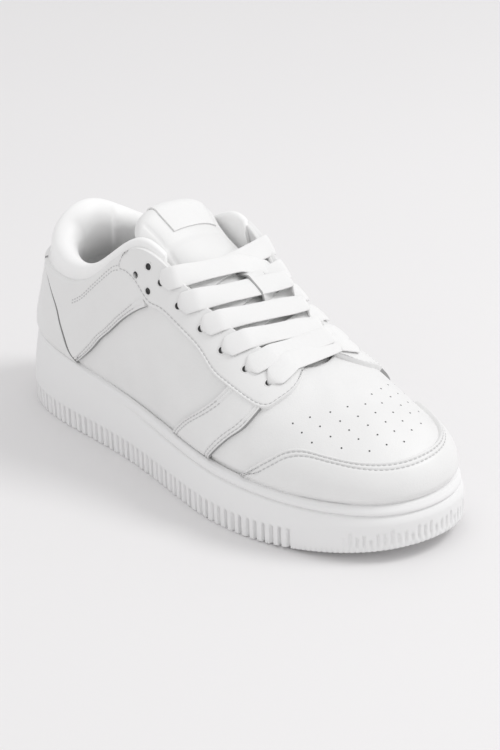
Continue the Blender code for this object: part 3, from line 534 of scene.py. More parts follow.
def leather_material(name, color, grain=1.0, roughness=0.46):
    """Fine-grained coated leather: small cells, finer pores and broad soft unevenness as bump, and slightly
    uneven colour and roughness."""
    material, tree, body, node = shader(name, color, roughness, Coat_Weight=0.12, Coat_Roughness=0.35,
                                        Specular_IOR_Level=0.45)
    place = node("ShaderNodeTexCoord").outputs["Object"]
    cells = node("ShaderNodeTexVoronoi", {"Vector": place, "Scale": 1250.0}, feature="F1")
    pores = node("ShaderNodeTexNoise", {"Vector": place, "Scale": 2600.0, "Detail": 2.0})
    broad = node("ShaderNodeTexNoise", {"Vector": place, "Scale": 55.0, "Detail": 3.0})
    tint(tree, body, node, broad.outputs["Fac"], tuple(c * 0.955 for c in color),
         tuple(min(1, c * 1.03) for c in color))
    rough = node("ShaderNodeMapRange", {"Value": broad.outputs["Fac"], "From Min": 0.3, "From Max": 0.7,
                                        "To Min": roughness - 0.05, "To Max": roughness + 0.06})
    tree.links.new(rough.outputs["Result"], body.inputs["Roughness"])
    add_bump(tree, body, node, cells.outputs["Distance"], 0.16 * grain, 0.25 * MM)
    add_bump(tree, body, node, pores.outputs["Fac"], 0.10 * grain, 0.15 * MM)
    add_bump(tree, body, node, broad.outputs["Fac"], 0.25, 0.6 * MM)
    return material


def rubber_material(color):
    """Moulded rubber: satin, with a very fine texture and faint uneven colour."""
    material, tree, body, node = shader("sole_rubber", color, 0.5, Specular_IOR_Level=0.4)
    place = node("ShaderNodeTexCoord").outputs["Object"]
    fine = node("ShaderNodeTexNoise", {"Vector": place, "Scale": 1800.0, "Detail": 2.0})
    broad = node("ShaderNodeTexNoise", {"Vector": place, "Scale": 40.0, "Detail": 4.0})
    tint(tree, body, node, broad.outputs["Fac"], tuple(c * 0.96 for c in color),
         tuple(min(1, c * 1.02) for c in color))
    rough = node("ShaderNodeMapRange", {"Value": broad.outputs["Fac"], "From Min": 0.3, "From Max": 0.7,
                                        "To Min": 0.44, "To Max": 0.56})
    tree.links.new(rough.outputs["Result"], body.inputs["Roughness"])
    add_bump(tree, body, node, fine.outputs["Fac"], 0.12, 0.12 * MM)
    return material


def woven_material(name, color, pitch, slant, strength=0.5, roughness=0.85):
    """Woven cloth on the piece's own UV map: two sets of waves crossing at an angle, with soft sheen and
    painted shade in their troughs.
    """
    material, tree, body, node = shader(name, color, roughness, Sheen_Weight=0.25, Sheen_Roughness=0.5,
                                        Specular_IOR_Level=0.25)
    place = node("ShaderNodeUVMap", uv_map="surface").outputs["UV"]
    heights = []
    for turn in (slant, -slant if abs(slant) > 1 else 90):
        turned = node("ShaderNodeMapping", {"Vector": place, "Rotation": (0, 0, math.radians(turn))})
        heights.append(node("ShaderNodeTexWave", {"Vector": turned.outputs["Vector"], "Scale": 0.314 / pitch,
                                                  "Distortion": 0.4, "Detail": 1.0},
                            wave_type="BANDS", bands_direction="X").outputs["Fac"])
    both = node("ShaderNodeMath", {0: heights[0], 1: heights[1]}, operation="MAXIMUM").outputs["Value"]
    # colour darker in the weave's troughs: painted shade between the threads, along with the bump
    tint(tree, body, node, both, tuple(c * 0.90 for c in color), color)
    add_bump(tree, body, node, both, strength, 0.25 * MM)
    return material


def plain_material(name, color, roughness, scale=900.0):
    """Matt finish with a fine speckle, for thread and the insides of holes."""
    material, tree, body, node = shader(name, color, roughness)
    place = node("ShaderNodeTexCoord").outputs["Object"]
    speck = node("ShaderNodeTexNoise", {"Vector": place, "Scale": scale, "Detail": 2.0})
    tint(tree, body, node, speck.outputs["Fac"], tuple(c * 0.93 for c in color), color)
    add_bump(tree, body, node, speck.outputs["Fac"], 0.2, 0.1 * MM)
    return material


def shared(name, make):
    """Material of that name, made once."""
    return bpy.data.materials.get(name) or make()


def leather():
    """The upper's leather."""
    colours = bpy.context.scene.sneaker_colours
    return shared("white_leather", lambda: leather_material("white_leather", tuple(colours.leather)))


def edge_shade_leather():
    """Grey matt cut edge of the leather, partly painted shade under raised edges."""
    colours = bpy.context.scene.sneaker_colours
    return shared("cut_edge_painted_shade", lambda: plain_material("cut_edge_painted_shade", tuple(colours.edge), 0.9, 1500.0))


def soft_leather():
    """Softer, smoother leather of collar and tongue."""
    colours = bpy.context.scene.sneaker_colours
    return shared("soft_leather", lambda: leather_material("soft_leather", tuple(colours.leather), 0.6, 0.5))


def collar_painted_light_leather():
    """Soft leather of the collar's roll and lining, made paler to paint light that doesn't reach inside."""
    colours = bpy.context.scene.sneaker_colours
    return shared("collar_painted_light_leather", lambda: leather_material(
        "collar_painted_light_leather", tuple(colours.collar), 0.6, 0.5))


def rubber():
    """The sole's rubber."""
    return shared("sole_rubber", lambda: rubber_material(tuple(bpy.context.scene.sneaker_colours.rubber)))


def thread():
    """Sewing thread, its grey partly painted shade on the stitches."""
    colours = bpy.context.scene.sneaker_colours
    return shared("thread", lambda: plain_material("thread", tuple(colours.thread), 0.7, 2500.0))


def hole():
    """Painted shade inside a punched hole: a dark floor in place of its depth."""
    colours = bpy.context.scene.sneaker_colours
    return shared("hole_inside", lambda: plain_material("hole_inside", tuple(colours.hole), 0.9))


def lining_cloth():
    """Knitted lining of the inside and the insole."""
    return shared("lining", lambda: woven_material("lining", (0.80, 0.80, 0.80), 1.1 * MM, 45, 0.4))


def lace_cloth():
    """Flat woven lace."""
    colours = bpy.context.scene.sneaker_colours
    return shared("lace_weave", lambda: woven_material("lace_weave", tuple(colours.lace), 0.55 * MM, 40, 0.3))


def label_cloth():
    """Close-woven label."""
    colours = bpy.context.scene.sneaker_colours
    return shared("label_weave", lambda: woven_material(
        "label_weave", tuple(colours.lace), 0.4 * MM, 0, 0.25))


# Soft form of the upper


def softness(t, v):
    """Small height that leather has over the plain form: slow waves along the quarters, soft troughs where
    the forefoot bends, and a swell where it comes out of the sole's rim, fullest round the toe."""
    t, v = np.broadcast_arrays(np.asarray(t, float), np.asarray(v, float))
    lift = 0.25 * MM * np.sin(2 * math.pi * (7 * t + 1.3 * v)) * np.sin(math.pi * v) ** 2
    lift = lift + 0.15 * MM * np.sin(2 * math.pi * (17 * t - 2.1 * v) + 1.0) * np.sin(math.pi * v) ** 2
    for place, slope, depth in ((0.335, 0.020, 0.35), (0.322, 0.026, 0.25), (0.664, -0.020, 0.35),
                                (0.678, -0.026, 0.25)):
        lift = lift - depth * MM * bump(t, place + slope * v, 0.006) * smooth(v, 0.05, 0.3) * smooth(
            -v, -0.8, -0.5)
    front = smooth(t, 0.20, 0.32) * smooth(-t, -0.80, -0.68)
    bulge = smooth(v, 0.0, 0.06) * (1 - smooth(v, 0.10, 0.45))
    return lift + (0.5 + 1.3 * front) * MM * bulge


def dressed(t, v, lift):
    """Point at a height over the upper's soft face."""
    return skin(t, v, softness(t, v) + lift)


# Sole


def rib_profile(run, pitch, groove):
    """0 on a rib and 1 in the groove between two: a rounded slot once every pitch."""
    place = np.abs((run / pitch) % 1.0 - 0.5) * pitch
    return 1 - smooth(place, groove * 0.5, groove)


def make_sole():
    """Ribbed cup sole.

    Each station i along the shoe is one closed loop: across the underside, up the medial wall through the
    ribs and the bead to the rim, down inside, across the floor and back down the lateral wall. The stations
    follow the outline by its length, and lateral and medial places of one station share an x."""
    fine = np.linspace(0, 1, 6001)
    path = outline(fine)
    run = np.concatenate([[0], np.cumsum(np.linalg.norm(np.diff(path, axis=0), axis=1))])
    tip = int(np.argmax(path[:, 0]))
    back = int(np.argmin(path[:-1, 0]))
    if back > 3000:
        back -= 6000
    first_t, tip_t = back / 6000, tip / 6000
    stations = 620
    lateral = first_t + (tip_t - first_t) * np.linspace(0, 1, stations)
    other = np.linspace(tip_t, 1 + first_t, 4001)
    other_x = outline(other)[:, 0]
    inner = np.interp(-outline(lateral)[:, 0], -other_x, other)
    inner[0], inner[-1] = 1 + first_t, tip_t

    def wall(t, side):
        """Rows of the wall from the underside's edge to the floor inside, at each t."""
        plan, out = outline(t), outward(t)
        share = share_along(plan[:, 0])
        base = ground(plan[:, 0])
        row = sections(t)
        rim = row["rim_z"][:, 0]
        bead = smooth(share, 0.34, 0.50)
        toe = smooth(share, 0.90, 0.935)
        s = np.interp(np.mod(t, 1.0), fine, run)
        s = np.where(s > run[tip], run[-1] - s, s) if side else s
        ribs = rib_profile(s, RIB_PITCH, 1.0 * MM) * (1 - smooth(share, 0.828, 0.834))
        ribs = ribs * (0.35 + 0.65 * smooth(share, 0.0, 0.02))
        low_bars = rib_profile(s, 3.2 * MM, 0.75 * MM) * toe
        tall = 0.5 + 0.5 * np.sin(s / (3.6 * MM) * 2.4) * np.sin(s / (3.6 * MM) * 1.1 + 0.7)
        scallop = rib_profile(s, 2.6 * MM, 0.7 * MM) * smooth(share, 0.80, 0.86) * 0.6
        foot = row["inset"][:, 0]
        groove = rim - BEAD_HEIGHT
        rows = []
        heights = np.array([0.0, 0.3, 0.9, 1.6, 2.6, 4.0, 5.5, 7.0, 8.2, 9.2, 10.0, 10.8, 11.8]) * MM
        for h in heights:
            roll = 1.0 * MM - np.sqrt(np.clip(1 - (1 - min(h / (1.0 * MM), 1)) ** 2, 0, 1)) * 1.0 * MM
            fade = 1 - smooth(h, RIB_HEIGHT - 1.2 * MM, RIB_HEIGHT + 0.2 * MM)
            cut = ribs * RIB_DEPTH * fade
            top = groove - base - 3.5 * MM
            reach = np.minimum(11.0 * MM + 0 * top, 6.5 * MM + tall * 4.5 * MM)
            cut = cut + low_bars * BUMPER_DEPTH * (1 - smooth(h, reach - 1.0 * MM, reach)) * smooth(
                h, 2.2 * MM, 3.4 * MM)
            cut = cut + scallop * 0.7 * MM * (1 - smooth(h, 1.6 * MM, 2.6 * MM))
            rows.append((base + h, roll + cut))
        start = base + heights[-1]
        taper_to = lambda z: CUP_TAPER * np.clip((z - start) / (rim - start), 0, 1) ** 1.15
        for f in (0.25, 0.5, 0.75, 0.92):
            z = start + (groove - 0.9 * MM - start) * f
            rows.append((z, taper_to(z) - 0.35 * MM * math.sin(math.pi * f)))
        for dz, proud in ((-0.65, 0.0), (-0.40, -0.40), (-0.15, -0.95), (0.15, -0.95), (0.40, -0.2),
                          (0.75, 0.45), (1.2, 0.85), (1.8, 1.05), (2.4, 1.1), (3.0, 0.95), (3.4, 0.7)):
            z = groove + dz * MM
            rows.append((z, taper_to(z) - proud * BEAD_PROUD * bead))
        face = taper_to(groove + 3.4 * MM) - 0.6 * BEAD_PROUD * bead
        for dz, inset in ((3.8, 0.15), (4.15, 0.45), (4.4, 0.95), (4.55, 1.6), (4.6, 2.4)):
            rows.append((groove + dz * MM, face + inset * MM))
        lip = foot - 0.1 * MM
        rows.append((rim - 0.1 * MM, np.maximum(lip - 0.9 * MM, face + 2.6 * MM)))
        rows.append((rim - 0.3 * MM, lip - 0.3 * MM))
        rows.append((rim - 0.7 * MM, lip))
        rows.append((rim - 4 * MM, lip))
        rows.append((footbed((plan - out * lip[:, None])[:, 0]), lip))
        z = np.stack([np.broadcast_to(r[0], len(t)) for r in rows], 1)
        inset = np.stack([np.broadcast_to(r[1], len(t)) for r in rows], 1)
        flat = plan[:, None, :] - out[:, None, :] * inset[..., None]
        return np.concatenate([flat, z[..., None]], -1)

    left, right = wall(lateral, 0), wall(inner, 1)
    across = np.linspace(0, 1, 62)[1:-1]
    under = left[:, :1] + (right[:, :1] - left[:, :1]) * across[None, :, None]
    under[..., 2] = ground(under[..., 0]) + tread(under)
    floor = right[:, -1:] + (left[:, -1:] - right[:, -1:]) * np.array([0.25, 0.5, 0.75])[None, :, None]
    loop = np.concatenate([under, right, floor, left[:, ::-1]], axis=1)
    item = surface("cup_sole", loop, [rubber()], along=True, sharp=60)
    return finish_piece(item, "sole_rubber", "sole")


def tread(points):
    """Depth of the tread at points of the underside: zigzag cross grooves under heel and forefoot, and rings
    round a turning point under the ball, kept clear of the border."""
    x, y = points[..., 0], points[..., 1]
    share = share_along(x)
    low, high = y.min(1, keepdims=True), y.max(1, keepdims=True)
    border = smooth(np.minimum(y - low, high - y), 7 * MM, 9 * MM)
    wave = 3.0 * MM * np.abs(((y / (14 * MM)) % 1.0) - 0.5) * 2
    lines = 1 - smooth(np.abs((((x + wave) / (7.5 * MM)) % 1.0) - 0.5) * 7.5 * MM, 0.9 * MM, 1.5 * MM)
    zones = smooth(share, 0.05, 0.07) * (1 - smooth(share, 0.30, 0.32)) + smooth(share, 0.42, 0.44) * (
        1 - smooth(share, 0.90, 0.92))
    radius = np.hypot(x - 48 * MM, y - 4 * MM)
    rings = 1 - smooth(np.abs(((radius / (6 * MM)) % 1.0) - 0.5) * 6 * MM, 0.8 * MM, 1.4 * MM)
    inside = 1 - smooth(radius, 24.5 * MM, 25.5 * MM)
    depth = lines * zones * (1 - smooth(-radius, -28 * MM, -27 * MM)) + rings * inside
    return 1.3 * MM * np.clip(depth, 0, 1) * border


class SNEAKER_OT_sole(bpy.types.Operator):
    """Cup sole with ribs, bead, toe bumper and tread"""

    bl_idname = "sneaker.sole"
    bl_label = "Sole"

    def execute(self, context):
        make_sole()
        return {"FINISHED"}


# Upper, insole


def make_upper():
    """Leather shell: round the outline by t, and along a loop that goes up the outer face, over a rounded
    edge and down inside the wall to the sole's floor."""
    t = np.arange(460) / 460
    foot = foot_line(t)
    floor = footbed(foot[:, 0]) + GAP
    rows = np.linspace(0, 1, 66)
    outer = dressed(t[:, None], rows[None, :], 0.0)
    inner = skin(t[:, None], rows[None, ::-1][:, 1:], -UPPER_WALL + 0 * t[:, None] * rows[None, 1:])
    edge_normal = upper_normal(t, np.ones_like(t))
    edge = upper_face(t, np.ones_like(t))
    up = unit(edge - upper_face(t, np.full_like(t, 0.97)))
    turns = np.radians([30, 60, 90, 120, 150])
    fold = [edge - edge_normal * (UPPER_WALL / 2 * (1 - math.cos(a))) + up * 0.5 * MM * math.sin(a)
            for a in turns]
    low_out = np.column_stack([foot, floor])[:, None]
    low_in = np.column_stack([foot - outward(t) * UPPER_WALL, floor])[:, None]
    loop = np.concatenate([low_out, outer, np.stack(fold, 1), inner, low_in], axis=1)
    item = surface("leather_shell", loop, [leather()], around=True, along=True, sharp=70)
    return finish_piece(item, "leather", "upper")


def make_insole():
    """Padded insole: rings from the upper's wall to the middle line, with a rounded border and a low cup."""
    t = np.arange(360) / 360
    plan = foot_line(t) - outward(t) * (UPPER_WALL + GAP)
    middle = np.column_stack([np.clip(plan[:, 0], -85 * MM, 85 * MM), 0 * t])
    middle[:, 1] = 3 * MM * smooth(middle[:, 0], -20 * MM, 60 * MM)
    rings = []
    for share, height in ((1.0, 0.0), (1.0, 0.6), (0.99, 0.85), (0.97, 0.98), (0.94, 1.0), (0.8, 0.92),
                          (0.6, 0.84),
                          (0.4, 0.80), (0.2, 0.78), (0.0, 0.78)):
        flat = middle + (plan - middle) * share
        rings.append(np.column_stack([flat, footbed(flat[:, 0]) + GAP + INSOLE * height]))
    bottom = [np.column_stack([middle, footbed(middle[:, 0]) + GAP])]
    grid = np.stack(bottom + rings, 1)
    item = surface("footbed", grid, [lining_cloth()], around=True, sharp=60)
    return finish_piece(item, "lining", "insole")


class SNEAKER_OT_upper(bpy.types.Operator):
    """Leather shell of the upper and the insole in it"""

    bl_idname = "sneaker.upper"
    bl_label = "Upper"

    def execute(self, context):
        make_upper()
        make_insole()
        return {"FINISHED"}


# Overlays and stitching

NEAR = np.array([0.0, 0.06, 0.15, 0.28, 0.45, 0.7, 1.0,
                 1.3, 1.6, 1.9, 2.3, 2.8, 3.2, 3.6, 4.0, 4.5, 5.2]) * MM
EDGE_ROUND = 0.55 * MM
SEAMS = (1.6 * MM, 3.6 * MM)


def panel_places(rows, count, far_edge, across):
    """Grid of (t, v) places of a panel: count lines along its border and lines across that keep their real
    distance from the border, then spread evenly to the back."""
    a = np.linspace(0, 1, count)
    table = open_curve(rows, a)
    edge, back = table[:, :2], table[:, 2:]
    steps = np.linspace(0, 1, 9)[None, :, None]
    line = edge[:, None] + (back - edge)[:, None] * steps
    width = lengths(upper_face(line[..., 0], line[..., 1]), 1)[:, -1]
    scale = np.minimum(1.0, 0.42 * width / NEAR[-1])
    near = NEAR[None, :] * scale[:, None] / np.maximum(width, 1e-6)[:, None]
    middle = np.linspace(0, 1, across)[1:-1][None, :]
    if far_edge:
        last = 1 - near[:, ::-1]
        spread = near[:, -1:] + (last[:, :1] - near[:, -1:]) * middle
        b = np.concatenate([near, spread, last], 1)
    else:
        spread = near[:, -1:] + (1 - near[:, -1:]) * np.concatenate([middle, np.ones((1, 1))], 1)
        b = np.concatenate([near, spread], 1)
    place = edge[:, None] + (back - edge)[:, None] * b[..., None]
    distance = b * width[:, None]
    return place, distance, width[:, None] - distance


def rounded(distance):
    """Height share of a cut edge: a quarter circle over the edge's rounding, then level."""
    return np.sqrt(np.clip(1 - (1 - np.clip(distance / EDGE_ROUND, 0, 1)) ** 2, 0, 1))


def panel_height(near, far, ends, thickness, seams, far_seams, far_edge, soft):
    """Height of a panel over the upper: rounded at its cut edges, sinking slowly where its back is soft,
    pressed in along its seams and a little proud outside them."""
    height = rounded(near) * rounded(ends)
    if far_edge:
        height = height * rounded(far / (1 + 9 * soft))
    lift = thickness * height
    for distance, rows in ((near, seams), (far, far_seams)):
        for seam in rows:
            lift = lift - SEAM_PRESS * bump(distance, seam, 0.5 * MM) * height
        if rows:
            lift = lift + 0.3 * MM * bump(distance, rows[0] * 0.45, 0.6 * MM) * height
            lift = lift + 0.2 * MM * bump(distance, (rows[0] + rows[-1]) / 2, 0.7 * MM) * height
    return lift


def make_panel(name, rows, node, side=0, thickness=None, far_edge=False, seams=SEAMS, far_seams=(), count=220,
               across=16, open_ends=(False, False), soft_from=None, pits=(), shaded_edge=(0, 0, 1)):
    """Leather overlay over the rows of a panel table, and the paths of its seams. Pits are the (t, v) of its
    punched holes, where the height drops to just over the upper within a radius."""
    sizes = bpy.context.scene.sneaker_sizes
    thickness = thickness or sizes.panel
    rows = np.array(rows, float)
    if side:
        rows[:, 0], rows[:, 2] = medial(rows[:, 0]), medial(rows[:, 2])
    place, near, far = panel_places(rows, count, far_edge, across)
    flat = upper_face(place[..., 0], place[..., 1])
    along = lengths(flat, 0)
    ends = np.minimum(along + (9 * MM if open_ends[0] else 0),
                      along[-1:] - along + (9 * MM if open_ends[1] else 0))
    soft = 0.0 if soft_from is None else smooth(np.linspace(0, 1, count), *soft_from)[:, None]
    lift = panel_height(near, far, ends, thickness, seams, far_seams, far_edge, soft) + GAP
    for t, v in pits:
        gone = np.linalg.norm(flat - upper_face(t, v), axis=-1)
        inside = 1 - smooth(gone, EYELET_RADIUS - 0.35 * MM, EYELET_RADIUS + 0.05 * MM)
        lift = lift + (0.12 * MM - lift) * inside
    outer = dressed(place[..., 0], place[..., 1], lift)
    inner = dressed(place[..., 0], place[..., 1], -0.25 * MM + 0 * near)
    # the grey cut edge on the given columns paints the shade under the overlay's raised edge
    item = shell(name + "_leather", outer, inner, [leather(), edge_shade_leather()], sharp=75, shaded_edge=shaded_edge)
    finish_piece(item, "leather", node)
    paths = []
    for seam in seams:
        k = int(np.argmin(np.abs(NEAR - seam)))
        paths.append((outer[:, k], upper_normal(place[:, k, 0], place[:, k, 1])))
    for seam in far_seams:
        k = place.shape[1] - 1 - int(np.argmin(np.abs(NEAR - seam)))
        paths.append((outer[:, k], upper_normal(place[:, k, 0], place[:, k, 1])))
    return item, paths


def stitch_row(path, normals, skip=(0.0, 0.0)):
    """Stitches along a path: each is an eight-sided ring section carried over a short arch that dips into the
    leather at both ends, repeated at every stitch length and a gap."""
    sizes = bpy.context.scene.sneaker_sizes
    run = lengths(path, 0)
    total = run[-1]
    pitch = sizes.stitch * 1.32
    count = int((total - skip[0] - skip[1]) / pitch)
    if count < 1:
        return np.zeros((0, 3)), np.zeros((0, 4), int)
    start = skip[0] + (total - skip[0] - skip[1] - count * pitch) / 2 + pitch / 2
    middles = start + np.arange(count) * pitch

    def read(values, at):
        return np.stack([np.interp(at, run, values[:, k]) for k in range(3)], -1)

    reach = np.array([-0.5, -0.46, -0.3, 0.0, 0.3, 0.46, 0.5]) * sizes.stitch
    girth = np.array([0.45, 0.8, 1.0, 1.0, 1.0, 0.8, 0.45])
    rise = np.array([-0.35, -0.05, 0.22, 0.32, 0.22, -0.05, -0.35]) * sizes.thread
    at = middles[:, None] + reach[None, :]
    centre, normal = read(path, at), unit(read(normals, at))
    along = unit(read(path, at + 0.1 * MM) - read(path, at - 0.1 * MM))
    side = unit(np.cross(normal, along))
    angle = np.arange(6) / 6 * 2 * math.pi
    ring = (centre + normal * rise[None, :, None])[:, :, None] + (
        side[:, :, None] * np.cos(angle)[None, None, :, None]
        + normal[:, :, None] * np.sin(angle)[None, None, :, None] * 0.8) * (
            girth[None, :, None, None] * sizes.thread / 2)
    rows, columns = len(reach), len(angle)
    faces = grid_faces(rows, columns, along=True)
    caps = np.array([[0, 1, 2, 3], [0, 3, 4, 5]])
    last = (rows - 1) * columns
    faces = np.vstack([faces, caps[:, ::-1], caps + last])
    faces = (faces[None] + (np.arange(count) * rows * columns)[:, None, None]).reshape(-1, 4)
    return ring.reshape(-1, 3), faces


def pit_row(path, normals, skip, radius):
    """Needle holes between the stitches of a row, as places and normals."""
    sizes = bpy.context.scene.sneaker_sizes
    run = lengths(path, 0)
    total = run[-1]
    pitch = sizes.stitch * 1.32
    count = int((total - skip[0] - skip[1]) / pitch)
    start = skip[0] + (total - skip[0] - skip[1] - count * pitch) / 2
    at = start + np.arange(max(count, 0) + 1) * pitch
    centre = np.stack([np.interp(at, run, path[:, k]) for k in range(3)], -1)
    normal = unit(np.stack([np.interp(at, run, normals[:, k]) for k in range(3)], -1))
    return centre, normal, np.full(len(at), radius)


PUNCHED = ((1.4, -0.05), (1.2, 0.02), (1.08, 0.03), (1.0, 0.02), (0.92, 0.01), (0.0, 0.01))
LINER = ((1.38, -0.25), (1.28, 0.10), (1.14, 0.20), (1.02, 0.08), (0.98, -0.30), (0.96, -1.45), (0.0, -1.45))


def punched(centre, normal, radius, depth=0.05 * MM, rings=PUNCHED, painted_shade_from=3, sides=14):
    """Small holes with a low rounded rim and a floor painted dark as the hole's shade, at many places at
    once.

    Rings of one hole, out to in, as pairs of radius share and height in millimetres: the rim's foot on the
    leather, its crest, the inner wall and the floor."""
    out, rise = np.array(rings).T
    rise = rise * MM + depth
    helper = np.where(np.abs(normal[:, 2:3]) < 0.9, [[0.0, 0.0, 1.0]], [[1.0, 0.0, 0.0]])
    across = unit(np.cross(normal, helper))
    other = np.cross(normal, across)
    angle = np.arange(sides) / sides * 2 * math.pi
    spoke = across[:, None] * np.cos(angle)[None, :, None] + other[:, None] * np.sin(angle)[None, :, None]
    points = (centre[:, None, None] + normal[:, None, None] * rise[None, :, None, None]
              + spoke[:, None] * (out[None, :, None, None] * radius[:, None, None, None]))
    one = grid_faces(len(out), sides, along=True)
    # inner rings take the second material, the painted shade on the hole's floor
    kinds = (one[:, 0] // sides >= painted_shade_from).astype(int)
    count = len(centre)
    faces = (one[None] + (np.arange(count) * len(out) * sides)[:, None, None]).reshape(-1, 4)
    return points.reshape(-1, 3), faces, np.tile(kinds, count)


def join(parts):
    """Points and faces of many parts in one."""
    points, faces, shift = [], [], 0
    for p, f in parts:
        points.append(p)
        faces.append(f + shift)
        shift += len(p)
    return np.vstack(points), np.vstack(faces)


SEAM_PATHS = {}


def quarter_rows(side):
    """Rows of a quarter on the lateral (0) or medial (1) side. The counter reaches equally far on both sides,
    so the backs beside it are mirrored there as t to 1 - t, all other places as the shoe is."""
    beside = open_curve(COUNTER, (0.10, 0.22, 0.40, 0.60, 0.80, 0.99)) + (COUNTER_GROOVE, 0)
    rows = np.array([edge + tuple(back) for edge, back in zip(QUARTER[:6], beside)] + list(QUARTER[6:]))
    if side:
        rows[:, 0] = medial(rows[:, 0])
        rows[:6, 2], rows[6:, 2] = 1 - rows[:6, 2], medial(rows[6:, 2])
    return rows


def make_overlays():
    """Counter, quarters, bands, toe cap and eyestays, and the seams that they carry."""
    # grey cut edges on counter, quarters and bands paint the dark shade line under their raised edges
    counter = [(t, v, -t, v) for t, v in COUNTER]
    _, SEAM_PATHS["counter"] = make_panel("heel_counter", counter, "heel_counter", far_edge=True, seams=(),
                                          count=120, across=40, shaded_edge=(3, 3, 1))
    cap = list(CAP) + [(medial(t), v) for t, v in CAP[-2::-1]]
    foot = np.linspace(CAP[0][0] + 0.0005, medial(CAP[0][0]) - 0.0005, len(cap))
    cap = [(t, v, f, 0.0) for (t, v), f in zip(cap, foot)]
    _, SEAM_PATHS["toe_cap"] = make_panel("toe_cap", cap, "toe_cap", count=320, across=18, seams=SEAMS)
    for side, name in enumerate(("lateral", "medial")):
        _, SEAM_PATHS["quarter_" + name] = make_panel("quarter_" + name, quarter_rows(side),
                                                      "quarter_" + name, far_edge=True,
                                                      open_ends=(False, True),
                                                      soft_from=(0.60, 0.72), shaded_edge=(3, 3, 0.58))
        _, SEAM_PATHS["band_" + name] = make_panel("band_" + name, BAND, "band_" + name, side, far_edge=True,
                                                   far_seams=SEAMS, count=90, open_ends=(True, True),
                                                   shaded_edge=(2, 3, 1))
        _, SEAM_PATHS["eyestay_" + name] = make_panel("eyestay_" + name, EYESTAY, "eyestay_" + name, side,
                                                      thickness=STAY_THICKNESS, far_edge=True,
                                                      seams=(1.9 * MM,), count=360, across=28,
                                                      pits=[eyelet(row, side) for row in range(len(EYELETS))])
        t, v = open_curve(SIDE_SEAM, np.linspace(0, 1, 60)).T
        t = medial(t) if side else t
        height = bpy.context.scene.sneaker_sizes.panel + GAP - 0.15 * MM
        SEAM_PATHS["side_" + name] = [(dressed(t, v + shift, height), upper_normal(t, v + shift))
                                      for shift in (-SIDE_SEAM_APART / 2, SIDE_SEAM_APART / 2)]


def make_stitches():
    """All the thread in one piece, and the needle holes between its stitches."""
    parts = []
    pits = []
    for name, paths in SEAM_PATHS.items():
        for path, normals in paths:
            skip = (1.5 * MM, 9 * MM) if name.startswith(("quarter", "band")) else (2 * MM, 2 * MM)
            parts.append(stitch_row(path, normals, skip))
            if not name.startswith("side"):
                pits.append(pit_row(path, normals, skip, NEEDLE_HOLE))
    points, faces = join(parts)
    item = add_mesh("stitching", points, faces, [thread()])
    finish_piece(item, "lace_fabric")
    centre, normal, radius = (np.concatenate([p[k] for p in pits]) for k in range(3))
    # needle holes with dark floors: painted shade at the ends of the stitches
    points, faces, kinds = punched(centre, normal, radius, 0.0, sides=8)
    item = add_mesh("needle_holes", points, faces, [leather(), hole()], kinds=kinds)
    finish_piece(item, "leather")


def make_holes():
    """Punched holes: the rows on the toe and the lace holes of both stays."""
    sizes = bpy.context.scene.sneaker_sizes
    t, v = np.meshgrid(np.linspace(0.33, 0.68, 700), np.linspace(0.3, 0.99, 220), indexing="ij")
    field = upper_face(t, v)
    want = np.array([(x, y) for y, row in PERFORATIONS for x in row]) * MM
    near = np.array([np.argmin(np.sum((field[..., :2].reshape(-1, 2) - w) ** 2, 1)) for w in want])
    pt, pv = t.ravel()[near], v.ravel()[near]
    # dark floors paint the shade inside the toe's punched holes
    points, faces, kinds = punched(dressed(pt, pv, 0.0), upper_normal(pt, pv),
                                   np.full(len(pt), sizes.perforation))
    item = add_mesh("toe_perforations", points, faces, [leather(), hole()], kinds=kinds)
    finish_piece(item, "leather")
    places = np.array([eyelet(row, side) for side in (0, 1) for row in range(len(EYELETS))])
    # dark floors paint the shade inside the lace holes
    points, faces, kinds = punched(dressed(places[:, 0], places[:, 1], STAY_THICKNESS + GAP),
                                   upper_normal(places[:, 0], places[:, 1]),
                                   np.full(len(places), EYELET_RADIUS * 0.86), 0.0, LINER, 4, 32)
    item = add_mesh("lace_holes", points, faces, [leather(), hole()], kinds=kinds)
    finish_piece(item, "leather")


class SNEAKER_OT_overlays(bpy.types.Operator):
    """Stitched leather overlays of the upper"""

    bl_idname = "sneaker.overlays"
    bl_label = "Overlays"

    def execute(self, context):
        make_overlays()
        return {"FINISHED"}


class SNEAKER_OT_stitching(bpy.types.Operator):
    """Thread and needle holes of every seam"""

    bl_idname = "sneaker.stitching"
    bl_label = "Stitching"

    def execute(self, context):
        if not SEAM_PATHS:
            raise RuntimeError("add the overlays before their stitching")
        make_stitches()
        return {"FINISHED"}


class SNEAKER_OT_holes(bpy.types.Operator):
    """Punched toe holes and lace holes"""

    bl_idname = "sneaker.holes"
    bl_label = "Punched Holes"

    def execute(self, context):
        make_holes()
        return {"FINISHED"}


# Collar and tongue


